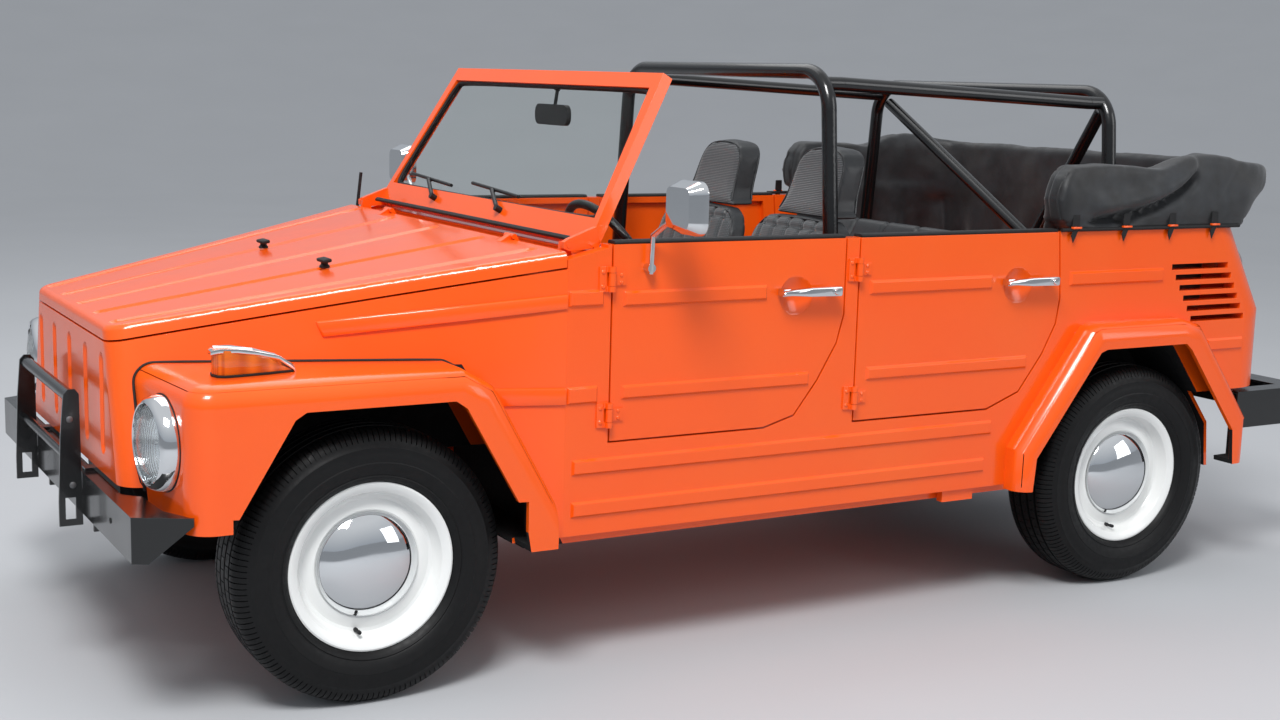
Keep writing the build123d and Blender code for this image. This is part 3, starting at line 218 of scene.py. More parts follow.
def stripes(tree, place, mm, direction):
    """Even bands this many millimetres apart, running across a direction."""
    inputs = {"Vector": place, "Scale": WAVE_PERIOD / mm}
    return add_node(tree, "ShaderNodeTexWave", {"bands_direction": direction}, inputs).outputs["Fac"]


def lens_plastic(name, code, deep, direction="Y", flute_mm=7):
    """Injection-moulded acrylic: clear coloured plastic over a bright back, fluted on the inside."""
    made, tree, place = new_material(name)
    flutes = stripes(tree, place, flute_mm, direction)
    close_material(tree, {
        "Base Color": mixed(tree, flutes, srgb(code), srgb(deep)),
        "Roughness": 0.07,
        "IOR": 1.49,
        "Transmission Weight": 0.25,
        "Coat Weight": 0.6,
        "Coat Roughness": 0.03,
        "Normal": bump(tree, flutes, 0.6),
    })
    return made


def pressed_glass(name):
    """Pressed lamp glass: clear, its back ribbed into upright prisms."""
    made, tree, place = new_material(name)
    ribs = stripes(tree, place, 9, "Y")
    close_material(tree, {
        "Base Color": srgb("F4F7F8"),
        "Roughness": 0.02,
        "IOR": 1.2,
        "Transmission Weight": 0.92,
        "Specular IOR Level": 0.8,
        "Normal": bump(tree, ribs, 0.5),
    })
    return made


def ribbed_weave():
    """Woven seat cloth: grey and black yarn in level cords, matt, with the pile's soft sheen."""
    made, tree, place = new_material("ribbed seat cloth")
    # The real cords are about 2 mm apart, drawn at 5 mm so that they still show from a few metres
    cords = stripes(tree, place, 5, "Z")
    yarn = noise(tree, place, 3, 2)
    cloth = mixed(tree, spread(tree, cords, 0.25, 0.75, 0, 1), srgb("2C2F31"), srgb("74787A"))
    close_material(tree, {
        "Base Color": mixed(tree, spread(tree, yarn, 0.35, 0.75, 0, 0.5), cloth, srgb("3A3D40")),
        "Roughness": 0.85,
        "Sheen Weight": 0.25,
        "Normal": bump(tree, cords, 0.8),
    })
    return made


def backrest_weave():
    """Woven seat cloth laid the plain way: grey flecks on black, matt."""
    made, tree, place = new_material("flecked seat cloth")
    across = stripes(tree, place, 5, "Y")
    down = stripes(tree, place, 5, "Z")
    flecks = add_node(tree, "ShaderNodeMath", {"operation": "MULTIPLY"}, {0: across, 1: down}).outputs[0]
    cloth = mixed(tree, spread(tree, flecks, 0.2, 0.7, 0, 1), srgb("2E3234"), srgb("6A6F71"))
    close_material(tree, {
        "Base Color": mixed(tree, noise(tree, place, 60, 3), cloth, srgb("43474A")),
        "Roughness": 0.85,
        "Sheen Weight": 0.25,
        "Normal": bump(tree, flecks, 0.6),
    })
    return made


def silvered_glass():
    """Silvered mirror glass: a clean dark mirror."""
    made, tree, place = new_material("silvered glass")
    film = spread(tree, noise(tree, place, 80, 3), 0.4, 0.8, 0.01, 0.04)
    close_material(tree, {"Base Color": srgb("C4C9CC"), "Metallic": 1.0, "Roughness": film})
    return made


def dial_face():
    """The instrument's face: matt black printed metal."""
    made, tree, place = new_material("dial face")
    close_material(tree, {
        "Base Color": mixed(tree, noise(tree, place, 12, 2), srgb("0D0D0E"), srgb("151516")),
        "Roughness": 0.6,
    })
    return made


def rough_metal(name, code, rough):
    """Bare cast or drawn metal below the car: dull, with road film."""
    made, tree, place = new_material(name)
    film = spread(tree, noise(tree, place, 70, 5, 0.65), 0.4, 0.75, 0, 0.8)
    close_material(tree, {
        "Base Color": mixed(tree, film, srgb(code), srgb("2E2A26")),
        "Metallic": 0.6,
        "Roughness": spread(tree, noise(tree, place, 20, 4), 0.3, 0.7, rough - 0.1, rough + 0.1),
        "Normal": bump(tree, noise(tree, place, 5, 4), 0.3),
    })
    return made


# Finishes by slot or part name, filled by MakeFinishes
FINISH = {}
BODY_OF = {node: body for body, nodes in frame["record"]["behaviour"]["bodies"].items() for node in nodes}
FRONT_AXLE_X = 1295
REAR_AXLE_X = -1105
WHEEL_Y = 662
WHEEL_Z = 332
WHEELS = (
    ("front_left", FRONT_AXLE_X, 1), ("front_right", FRONT_AXLE_X, -1),
    ("rear_left", REAR_AXLE_X, 1), ("rear_right", REAR_AXLE_X, -1),
)
SIDES = (("left", 1), ("right", -1))
# An edge that turns more than this, in degrees, is sharp
SHARP_EDGE = 32


def mm(x, y, z):
    """A place in metres from millimetres."""
    return Vector((x / 1000, y / 1000, z / 1000))


def added(name, data):
    """A new object with this data, in the scene."""
    made = bpy.data.objects.new(name, data)
    bpy.context.scene.collection.objects.link(made)
    return made


def leave_edit():
    """Leave edit mode, with nothing selected."""
    if bpy.context.object and bpy.context.object.mode != "OBJECT":
        bpy.ops.object.mode_set(mode="OBJECT")
    bpy.ops.object.select_all(action="DESELECT")


def only(piece, mode="OBJECT"):
    """Select this piece alone and enter a mode."""
    leave_edit()
    piece.select_set(True)
    bpy.context.view_layer.objects.active = piece
    if mode != "OBJECT":
        bpy.ops.object.mode_set(mode=mode)
        bpy.ops.mesh.select_all(action="SELECT")


def moved(piece, place):
    """Shift the whole mesh by a place in millimetres and leave edit mode."""
    only(piece, "EDIT")
    bpy.ops.transform.translate(value=mm(*place))
    only(piece)
    return piece


def flip():
    """Mirror the selected mesh, in edit mode, to the other side of the car."""
    bpy.ops.transform.resize(value=(1, -1, 1), center_override=(0, 0, 0))
    bpy.ops.mesh.flip_normals()


def reshape(piece, place_of):
    """Move every vertex, in edit mode, to place_of(x, y, z) in metres."""
    for vertex in bmesh.from_edit_mesh(piece.data).verts:
        vertex.co = place_of(*vertex.co)


def upright(piece):
    """Stand up a form that was turned about the Y axis."""
    reshape(piece, lambda x, y, z: (x, -z, y))
    return piece


def trace(name, points):
    """Extrude one point along a line of places in millimetres; the piece is left in edit mode."""
    leave_edit()
    bpy.ops.mesh.primitive_plane_add(size=0.01)
    piece = bpy.context.object
    piece.name = name
    bpy.ops.object.mode_set(mode="EDIT")
    bpy.ops.mesh.select_mode(type="VERT")
    bpy.ops.mesh.select_all(action="SELECT")
    bpy.ops.mesh.merge(type="CENTER")
    places = [mm(*point) for point in points]
    bpy.ops.transform.translate(value=places[0])
    for here, there in zip(places, places[1:]):
        bpy.ops.mesh.extrude_vertices_move(TRANSFORM_OT_translate={"value": there - here})
    return piece


def tidy_shape():
    """Merge doubles and face the whole shape outwards, in edit mode."""
    bpy.ops.mesh.select_all(action="SELECT")
    bpy.ops.mesh.remove_doubles(threshold=1e-5)
    bpy.ops.mesh.normals_make_consistent(inside=False)


def turned(name, section, steps, axis="Y"):
    """Spin a section of (radius, out) in millimetres about an axle through the origin."""
    if axis == "Y":
        points, line = [(radius, out, 0) for radius, out in section], (0, 1, 0)
    else:
        points, line = [(out, radius, 0) for radius, out in section], (1, 0, 0)
    piece = trace(name, points)
    bpy.ops.mesh.select_all(action="SELECT")
    bpy.ops.mesh.spin(steps=steps, angle=math.tau, center=(0, 0, 0), axis=line)
    tidy_shape()
    return piece


def slab(name, outline, push):
    """Fill a closed outline of places and push it into a solid."""
    piece = trace(name, outline)
    bpy.ops.mesh.select_all(action="SELECT")
    bpy.ops.mesh.edge_face_add()
    bpy.ops.mesh.extrude_region_move(TRANSFORM_OT_translate={"value": mm(*push)})
    tidy_shape()
    return piece


def apply_modifier(piece, kind, settings):
    """Add one modifier with these settings and apply it."""
    only(piece)
    modifier = piece.modifiers.new("shape", kind)
    for name, value in settings.items():
        setattr(modifier, name, value)
    bpy.ops.object.modifier_apply(modifier=modifier.name)


def soften(piece, width_mm, segments, **limit):
    """Round a piece's sharp edges."""
    settings = {"width": width_mm / 1000, "segments": segments, "limit_method": "ANGLE", **limit}
    apply_modifier(piece, "BEVEL", settings)
    return piece


def finish(piece, body, finish_name, smooth=SHARP_EDGE, edge_mm=0.0, replaces=()):
    """Leave edit mode, soften the edges, and give the piece its finish and its body."""
    if edge_mm:
        soften(piece, edge_mm, 2, angle_limit=math.radians(SHARP_EDGE))
    only(piece)
    bpy.ops.object.shade_smooth_by_angle(angle=math.radians(smooth))
    piece.data.materials.clear()
    piece.data.materials.append(FINISH[finish_name])
    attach(piece, body)
    if replaces:
        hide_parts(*replaces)
    return piece


def copied(piece, name, shift=(0, 0, 0), mirrored=False):
    """A copy with its own mesh, mirrored to the other side of the car if asked, then shifted."""
    twin = added(name, piece.data.copy())
    only(twin, "EDIT")
    if mirrored:
        flip()
    return moved(twin, shift)


def twinned(piece):
    """The mirror image of a left piece, on the right of the chassis."""
    twin = copied(piece, piece.name.replace("left", "right"), mirrored=True)
    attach(twin, "chassis")


def fit_four(piece, node=None):
    """Fit a piece modelled round the origin to each wheel, and let it replace the wheel's own node."""
    for place, x, hand in WHEELS[1:]:
        name = piece.name.replace("front_left", place)
        twin = copied(piece, name, (x, WHEEL_Y * hand, WHEEL_Z), hand < 0)
        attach(twin, f"wheel_{place}")
        if node:
            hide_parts(f"{node}_{place}")
    moved(piece, (FRONT_AXLE_X, WHEEL_Y, WHEEL_Z))
    if node:
        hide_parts(f"{node}_front_left")


def tube(name, points, radius_mm, closed=False, order=3):
    """A round strip along a line of places in millimetres, as a closed mesh."""
    line = bpy.data.curves.new(name, "CURVE")
    line.dimensions = "3D"
    line.bevel_depth = radius_mm / 1000
    line.bevel_resolution = 2
    line.use_fill_caps = not closed
    spline = line.splines.new("NURBS")
    spline.points.add(len(points) - 1)
    for knot, point in zip(spline.points, points):
        knot.co = (*mm(*point), 1)
    spline.order_u = order
    spline.use_endpoint_u = not closed
    spline.use_cyclic_u = closed
    spline.resolution_u = 6
    only(added(name, line))
    bpy.ops.object.convert(target="MESH")
    piece = bpy.context.object
    only(piece, "EDIT")
    tidy_shape()
    only(piece)
    return piece


def joined(name, pieces):
    """Several meshes as one piece."""
    only(pieces[0])
    for piece in pieces:
        piece.select_set(True)
    bpy.ops.object.join()
    bpy.context.object.name = name
    return bpy.context.object


class CarSettings(bpy.types.PropertyGroup):
    """Sizes and colours that a user would change."""

    orange: bpy.props.FloatVectorProperty(
        name="Body enamel", description="Body colour", subtype="COLOR", size=4, default=srgb("F2560A"))
    white: bpy.props.FloatVectorProperty(
        name="Wheel enamel", description="Wheel colour", subtype="COLOR", size=4, default=srgb("E9EAE8"))
    edge_radius: bpy.props.FloatProperty(
        name="Panel edges", description="Radius of the pressed edges", unit="LENGTH", default=0.002)
    tread_depth: bpy.props.FloatProperty(
        name="Tread depth", description="Depth of the tyres' grooves", unit="LENGTH", default=0.007)
    floor_size: bpy.props.FloatProperty(
        name="Floor", description="Radius of the studio floor", unit="LENGTH", default=13.0)


class MakeFinishes(bpy.types.Operator):
    """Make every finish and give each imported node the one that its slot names"""

    bl_idname = "utility_car.finishes"
    bl_label = "Finishes"

    def execute(self, context):
        car = context.scene.car
        FINISH.update({
            "body_paint": coach_enamel("orange enamel", car.orange, "EF6216"),
            "black_paint": coach_enamel("black enamel", srgb("08090A"), "111214", 0.2),
            "wheel_paint": coach_enamel("white enamel", car.white, "DDDEDB", 0.2),
            "chrome": chrome_plate(),
            "glass": laminated_glass(),
            "tyre": tyre_rubber(),
            "vinyl": worn_vinyl(),
            "seat_vinyl": seat_vinyl(),
            "rubber": moulded("black rubber", "121213", 0.6),
            "underseal": moulded("bitumen underseal", "0B0B0C", 0.85),
            "plastic": moulded("black plastic", "141416", 0.4),
            "amber": lens_plastic("amber lens", "EE7A1C", "C85A10"),
            "red_lens": lens_plastic("smoked amber lens", "8A4A1C", "5C2A10", "Z"),
            "cast": rough_metal("cast alloy", "5A5A5C", 0.6),
            "steel": rough_metal("bare steel", "6A6A6C", 0.5),
            "lamp_glass": pressed_glass("ribbed lamp glass"),
            "ribbed_cloth": ribbed_weave(),
            "flecked_cloth": backrest_weave(),
            "mirror": silvered_glass(),
            "dial": dial_face(),
        })
        for part in frame["record"]["subparts"]:
            mesh = frame["nodes"][part["node"]].data
            mesh.materials.clear()
            mesh.materials.append(FINISH[part["material_slot"]])
        return {"FINISHED"}


# The underside of the luggage bay's floor below the front lid, and half the bay's width
BAY_FLOOR = 520
BAY_HALF = 388
# The fenders' crown line, below which a wheel's arch is undersealed, and the firewall's front face
ARCH_TOP = 786
FIREWALL_X = 797
# The rear edge of the front arch: its foot as (x, z) and its lean back for each millimetre of height
ARCH_REAR = (857, 460)
ARCH_LEAN = 0.568
# Lines just inside the fenders' rounded upper edges, as (x, z), and how far out they lie
FRONT_CROWN = ((862, 451), (1025, 737.9), (1095, 776.8), (1690, 776.8))
REAR_CROWN = ((-637, 449), (-884, 778), (-908, 788.8), (-1236, 788.8), (-1303, 776), (-1525, 485))
CROWN_Y = 800.8
# The two ribs pressed into the nose's flank, as (x, z)
FLANK_RIBS = (
    ("upper", ((799, 955), (1367, 889), (1353, 852), (799, 918))),
    ("lower", ((799, 726), (972, 726), (954, 682), (799, 682))),
)
# The foremost part of the flank that a ray from the side still meets
FLANK_REAR_X = 806

# Nodes whose own pieces below stand for them in full
OWN_PIECES = ("folded_top", "front_seats", "rear_bench", "headlamps", "turn_signals", "tail_lamps", "lid_rests")


class RollPanelEdges(bpy.types.Operator):
    """Dress the hard nodes as pressed and welded metal, their facets smoothed and their edges rolled"""

    bl_idname = "utility_car.roll_edges"
    bl_label = "Roll the panels' edges"

    def execute(self, context):
        for part in frame["record"]["subparts"]:
            node, slot = part["node"], part["material_slot"]
            if node in OWN_PIECES or node.startswith(("wheel_", "tyre_", "door_handle")):
                continue
            piece = added(f"{node}_rolled", frame["nodes"][node].data.copy())
            only(piece, "EDIT")
            bpy.ops.mesh.remove_doubles(threshold=2e-5)
            bpy.ops.mesh.dissolve_limited(angle_limit=math.radians(0.5))
            width = context.scene.car.edge_radius if slot == "body_paint" else 0.001
            if "fender" in node:
                width = 0.0006
            apply_modifier(piece, "BEVEL", {
                "width": width, "segments": 2, "limit_method": "ANGLE", "angle_limit": math.radians(35)})
            finish(piece, BODY_OF[node], slot, smooth=50 if slot == "chrome" else SHARP_EDGE, replaces=(node,))
            if slot == "body_paint":
                self.underseal(piece)
            apply_modifier(piece, "WEIGHTED_NORMAL", {"keep_sharp": True, "weight": 80})
        self.flank_ribs()
        self.corner_backing()
        return {"FINISHED"}

    def corner_backing(self):
        """Weld metal behind each front fender's rounded corner, and a bead behind the fenders' crowns."""
        for hand_name, hand in SIDES:
            source = frame["nodes"][f"front_fender_{hand_name}"].data
            piece = added(f"fender_corner_{hand_name}", source.copy())
            only(piece, "EDIT")
            shape = bmesh.from_edit_mesh(piece.data)
            far = [v for v in shape.verts if not (v.co.x > 1.64 and v.co.y * hand > 0.745 and v.co.z > 0.735)]
            bmesh.ops.delete(shape, geom=far, context="VERTS")
            bmesh.update_edit_mesh(piece.data)
            bpy.ops.mesh.select_all(action="SELECT")
            bpy.ops.mesh.convex_hull()
            bpy.ops.mesh.select_all(action="SELECT")
            bpy.ops.transform.shrink_fatten(value=-0.0008)
            finish(piece, "chassis", "body_paint", smooth=50)
            for place, crown in (("front", FRONT_CROWN), ("rear", REAR_CROWN)):
                line = [(x, CROWN_Y * hand, z) for x, z in crown]
                bead = tube(f"crown_bead_{place}_{hand_name}", line, 6, order=2)
                finish(bead, "chassis", "body_paint", smooth=60)

    def flank_ribs(self):
        """The two pressed ribs on each side of the nose, laid on the flank as it lies."""
        nose = frame["nodes"]["nose_body"].data
        flank = BVHTree.FromPolygons([v.co for v in nose.vertices], [f.vertices[:] for f in nose.polygons])
        for name, outline in FLANK_RIBS:
            corners = []
            for x, z in outline:
                met = max(x, FLANK_REAR_X)
                place = flank.ray_cast(mm(met, 2000, z), Vector((0, -1, 0)))[0]
                if place is None:
                    raise RuntimeError(f"the nose has no flank at {x}, {z}")
                corners.append((x, place.y * 1000 - 3 + (met - x) * 0.33, z))
            rib = slab(f"flank_rib_{name}_left", corners, (0, 10, 0))
            finish(rib, "chassis", "body_paint", edge_mm=5, smooth=40)
            twinned(rib)

    def underseal(self, piece):
        """Black underseal on the faces that look at a wheel inside its arch."""
        fender = "fender" in piece.name
        ease = 30 if fender else 0
        reach = max(abs(vertex.co.y) for vertex in piece.data.vertices) * 1000
        limit = reach - 14 if fender else 760
        level, across = (0, 0, 1), (0, 1, 0)
        foot = (ARCH_REAR[0], 0, ARCH_REAR[1])
        cuts = [((0, 0, ARCH_TOP), level), (foot, (1, 0, -ARCH_LEAN)), ((872, 0, 0), (1, 0, 0))]
        if "cowl" in piece.name:
            cuts += [((0, 0, BAY_FLOOR), level), ((0, BAY_HALF, 0), across), ((0, -BAY_HALF, 0), across)]
        only(piece, "EDIT")
        for cut, normal in cuts:
            bpy.ops.mesh.select_all(action="SELECT")
            bpy.ops.mesh.bisect(plane_co=mm(*cut), plane_no=normal)
        only(piece)

        def inside(middle, normal):
            x, y, z = middle
            if "cowl" in piece.name or "floor_pan" in piece.name:
                return x > FIREWALL_X and z < (BAY_FLOOR if abs(y) < BAY_HALF else 740)
            rear_edge = ARCH_REAR[0] - ease + max(0, z - ARCH_REAR[1]) * ARCH_LEAN
            front = 870 - ease < x < 1780 and z < ARCH_TOP and x > rear_edge
            rear = math.hypot(x - REAR_AXLE_X, z - WHEEL_Z) < 480 + 4 * ease and z < ARCH_TOP
            hub = Vector((FRONT_AXLE_X if front else REAR_AXLE_X, math.copysign(WHEEL_Y, y), WHEEL_Z))
            return (front or rear) and 380 < abs(y) < limit and (hub - middle).dot(normal) > -40

        faced(piece, "underseal", inside)


# The outer half of a tyre's section as (radius, out) from its middle: bead, wall rings, shoulder, tread
TYRE_HALF = (
    (196, 70), (205, 79), (209, 86), (216, 90.5), (219, 92.5), (222, 91.2), (225, 93.5), (238, 98.5),
    (246, 100.8), (252, 102.4), (255, 101.2), (258, 101.6), (272, 99.8), (284, 97), (288, 97.6), (291, 96.2),
    (294, 94), (303, 90.5), (312, 86), (320, 79.5), (326, 71.5), (329.5, 63), (330.8, 55), (331, 50),
)
# The tread's radius at its outer grooves, the shoulder's start, and the pitches round the tyre
TREAD_RADIUS = 331
SHOULDER_RADIUS = 302
TREAD_STEPS = 144


class BuildTyres(bpy.types.Operator):
    """Model a road tyre with wall rings, sipes and tread grooves, and fit four"""

    bl_idname = "utility_car.tyres"
    bl_label = "Tyres"

    def execute(self, context):
        deep = context.scene.car.tread_depth * 1000
        low = TREAD_RADIUS - deep
        tread = ((low, 49), (low, 43), (331.3, 42), (331.6, 28), (331.7, 19), (low, 18), (low, 12), (331.9, 11))
        outer = (*TYRE_HALF, *tread)
        section = [*outer, *((radius, -out) for radius, out in reversed(outer)), outer[0]]
        piece = turned("tyre_front_left_rubber", section, TREAD_STEPS)
        bpy.ops.mesh.select_mode(type="EDGE")
        bpy.ops.mesh.select_all(action="DESELECT")
        shape = bmesh.from_edit_mesh(piece.data)
        for edge in shape.edges:
            ends = [(math.hypot(v.co.x, v.co.z) * 1000, v.co.y * 1000) for v in edge.verts]
            level = abs(edge.verts[0].co.cross(edge.verts[1].co).y) < 1e-5
            radius = min(end[0] for end in ends)
            out = [abs(end[1]) for end in ends]
            turn = math.atan2(edge.verts[0].co.z, edge.verts[0].co.x) / math.tau * TREAD_STEPS
            shoulder = radius > SHOULDER_RADIUS and min(out) > 49.5
            rib = radius > TREAD_RADIUS and max(out) < 42.5 and round(turn) % 2 == (0 if out[0] > 15 else 1)
            if level and (shoulder or rib):
                edge.select_set(True)
        bmesh.update_edit_mesh(piece.data)
        bpy.ops.mesh.bevel(offset=0.0012, segments=1)
        bpy.ops.mesh.extrude_region_shrink_fatten(TRANSFORM_OT_shrink_fatten={"value": -0.004})
        finish(piece, "wheel_front_left", "tyre", smooth=28)
        fit_four(piece, "tyre")
        return {"FINISHED"}


# A wheel's closed section as (radius, out): lip, dish, cap seat, drum, well and inner flange
WHEEL_RING = (
    (18.2, 41), (118, 41), (124, 43), (131, 46.5), (139, 45.5), (147, 42), (157, 40), (165, 42.5), (170, 49),
    (174, 62), (179, 72), (186, 76.5), (193, 79.5), (199, 81), (203, 79.5), (204, 76), (202, 73), (196, 71),
    (190, 66), (189, -66), (196, -71), (202, -73), (203, -77), (199, -80), (192, -78), (180, -74), (158, -58),
    (158, 22), (118, -22), (118, -50), (18.2, -50), (18.2, 41),
)
# A hub cap's section: rolled rim, shoulder and dome
CAP_RING = (
    (116, 42), (123, 44), (126.5, 46.5), (127, 49.5), (125, 53), (119, 58.5), (110, 65.5), (98, 73.5),
    (84, 80.8), (68, 86.6), (50, 90.9), (32, 93.6), (15, 94.8), (0, 95.2),
)


class BuildWheels(bpy.types.Operator):
    """Model a steel wheel with its bright hub cap and valve, and fit four"""

    bl_idname = "utility_car.wheels"
    bl_label = "Wheels and hub caps"

    def execute(self, context):
        rim = turned("wheel_front_left_steel", WHEEL_RING, 96)
        finish(rim, "wheel_front_left", "wheel_paint", smooth=26)
        cap = turned("hub_cap_front_left", [(0, 44), *CAP_RING], 96)
        finish(cap, "wheel_front_left", "chrome", smooth=40)
        stem = ((0, 0), (5, 0), (5.5, 8), (4, 12), (4, 20), (5, 21), (5, 31), (3.5, 33), (0, 33))
        valve = turned("valve_front_left", [(radius, out + 40) for radius, out in stem], 16)
        finish(moved(valve, (28, 0, -158)), "wheel_front_left", "rubber")
        fit_four(rim, "wheel")
        fit_four(cap)
        fit_four(valve)
        return {"FINISHED"}


# Headlamp axis: its ring's middle on the left fender's face, turned out a little
LAMP_PLACE = (1751.05, 648, 648)
LAMP_TOE = 4.9


def aimed_lamp(piece, body_finish, replaces=()):
    """Turn a lamp part modelled along +X to its place on the left fender, and twin it on the right."""
    only(piece, "EDIT")
    along, across = math.cos(math.radians(LAMP_TOE)), math.sin(math.radians(LAMP_TOE))
    reshape(piece, lambda x, y, z: (x * along - y * across, x * across + y * along, z))
    finish(moved(piece, LAMP_PLACE), "chassis", body_finish, smooth=40)
    twinned(piece)
    if replaces:
        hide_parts(*replaces)


# The headlamp's parts as (radius, out) along its axis, with their steps and finishes
LAMP_PARTS = (
    ("ring", 96, "chrome", (
        (93, -20), (96, -2), (104, -1), (108, 0), (109, 4), (108.5, 12), (106, 22), (102, 31), (97, 37),
        (92, 40), (89.5, 39), (88.5, 36), (88.5, 28), (90, 20), (90, -20), (93, -20))),
    ("bowl", 96, "chrome", (
        (0, -48), (10, -48), (22, -45), (40, -36), (58, -22), (72, -6), (82, 10), (89, 27), (91, 27), (84, 8),
        (74, -9), (60, -25), (41, -39), (22, -49), (0, -52))),
    ("bulb", 24, "steel", ((0, -50), (12, -50), (12, -34), (7, -30), (7, -12), (5, -8), (0, -6))),
    ("lens", 96, "lamp_glass", (
        (0, 50), (20, 49.2), (40, 46.8), (60, 42.4), (76, 36.6), (85, 31.5), (88, 29), (87, 27.5), (76, 33),
        (60, 39), (40, 43.4), (20, 45.8), (0, 46.6))),
    ("gasket", 96, "rubber", ((97, -3), (110, -2), (111, 0.5), (108, 2), (97, 2), (97, -3))),
)


class BuildLamps(bpy.types.Operator):
    """Model the headlamps, the turn signals on the front fenders and the tail lamps"""

    bl_idname = "utility_car.lamps"
    bl_label = "Lamps"

    def execute(self, context):
        for name, steps, kind, section in LAMP_PARTS:
            piece = turned(f"headlamp_{name}_left", section, steps, "X")
            aimed_lamp(piece, kind, ("headlamps",) if name == "ring" else ())
        self.turn_signal()
        self.tail_lamp()
        return {"FINISHED"}

    def turn_signal(self):
        """A wedge of fluted amber under a bright cap that runs down its rear end, on a gasket."""
        rear, front, y, low = 1462, 1650, 680, 801
        half = [(rear, 0), (rear + 6, 9), (1530, 22), (1600, 32), (1628, 33), (1644, 24), (front, 0)]
        ring = [(x, y + out) for x, out in half] + [(x, y - out) for x, out in reversed(half[1:-1])]
        lens = slab("turn_signal_lens_left", [(x, side_y, low) for x, side_y in ring], (0, 0, 52))
        for vertex in bmesh.from_edit_mesh(lens.data).verts:
            if vertex.co.z * 1000 > low + 1:
                along = (vertex.co.x * 1000 - rear) / (front - rear)
                vertex.co.z = (low + 14 + 42 * min(1, along * 1.35) ** 0.8) / 1000
        finish(lens, "chassis", "amber", edge_mm=2)
        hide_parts("turn_signals")
        gasket = slab("turn_signal_gasket_left", [
            (x + (2 if x > 1550 else -2), y + (side_y - y) * 1.12, 796.3) for x, side_y in ring], (0, 0, 5))
        finish(gasket, "chassis", "rubber", edge_mm=1)
        # The cap's stations as x, z and half width
        stations = (
            (rear - 4, 797, 7), (rear + 1, 812, 10), (1500, 838, 18), (1550, 851, 26), (1600, 860, 34),
            (1640, 861, 30), (1655, 855, 14),
        )
        cap = slab("turn_signal_cap_left", [
            *((x, y + out, z) for x, z, out in stations), *((x, y - out, z) for x, z, out in reversed(stations))
        ], (0, 0, -10))
        finish(cap, "chassis", "chrome", edge_mm=1.6, smooth=50)
        for piece in (lens, gasket, cap):
            twinned(piece)

    def tail_lamp(self):
        """A domed lens on the tail's corner with a thin bright rim."""
        rows = ((1012, -1571), (885, -1649))
        middle = ((rows[0][0] + rows[1][0]) / 2, (rows[0][1] + rows[1][1]) / 2)
        for name, kind, section in (
            ("rim", "chrome", [(46, -1), (48, 2), (46, 7), (42, 8), (40, 3), (46, -1)]),
            ("lens", "red_lens", [
                (0, -30), (43, -30), (43, 4), (40, 20), (32, 32), (20, 39), (8, 42), (0, 42.5)]),
        ):
            piece = turned(f"tail_lamp_{name}_left", section, 48, "X")
            lean = math.atan2(rows[0][1] - rows[1][1], rows[0][0] - rows[1][0])
            for vertex in bmesh.from_edit_mesh(piece.data).verts:
                x, y, z = vertex.co
                z *= 1.5
                vertex.co = (-x * math.cos(lean) + z * math.sin(lean), -y, x * math.sin(lean) + z * math.cos(lean))
            bpy.ops.mesh.select_all(action="SELECT")
            bpy.ops.transform.translate(value=mm(middle[1] - 1, 615, middle[0]))
            bpy.ops.mesh.normals_make_consistent(inside=False)
            finish(piece, "chassis", kind, smooth=40)
            twinned(piece)
            if name == "lens":
                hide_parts("tail_lamps")


# The seam between the left front fender and the nose, from the bumper up and back over the wheel
WELTING = (
    (1766, 533, 514), (1768, 500, 620), (1769, 470, 720), (1769, 461, 746), (1768, 457, 760), (1762, 454, 774),
    (1750, 454, 787), (1736, 456, 795), (1717, 460, 798), (1500, 531, 798), (1300, 592, 798), (1095, 656, 798),
    (1080, 661, 794), (1013, 685, 755), (930, 714, 610), (848, 739, 464),
)


# The lower and upper corners of the screen's glass as (half width, height up the glass), where its plane
# starts as (x, z), and how far it leans
SCREEN_CORNERS = ((665, 0), (602, 368.6))
SCREEN_FOOT = (675, 1123)
SCREEN_LEAN = math.atan2(320, -183)


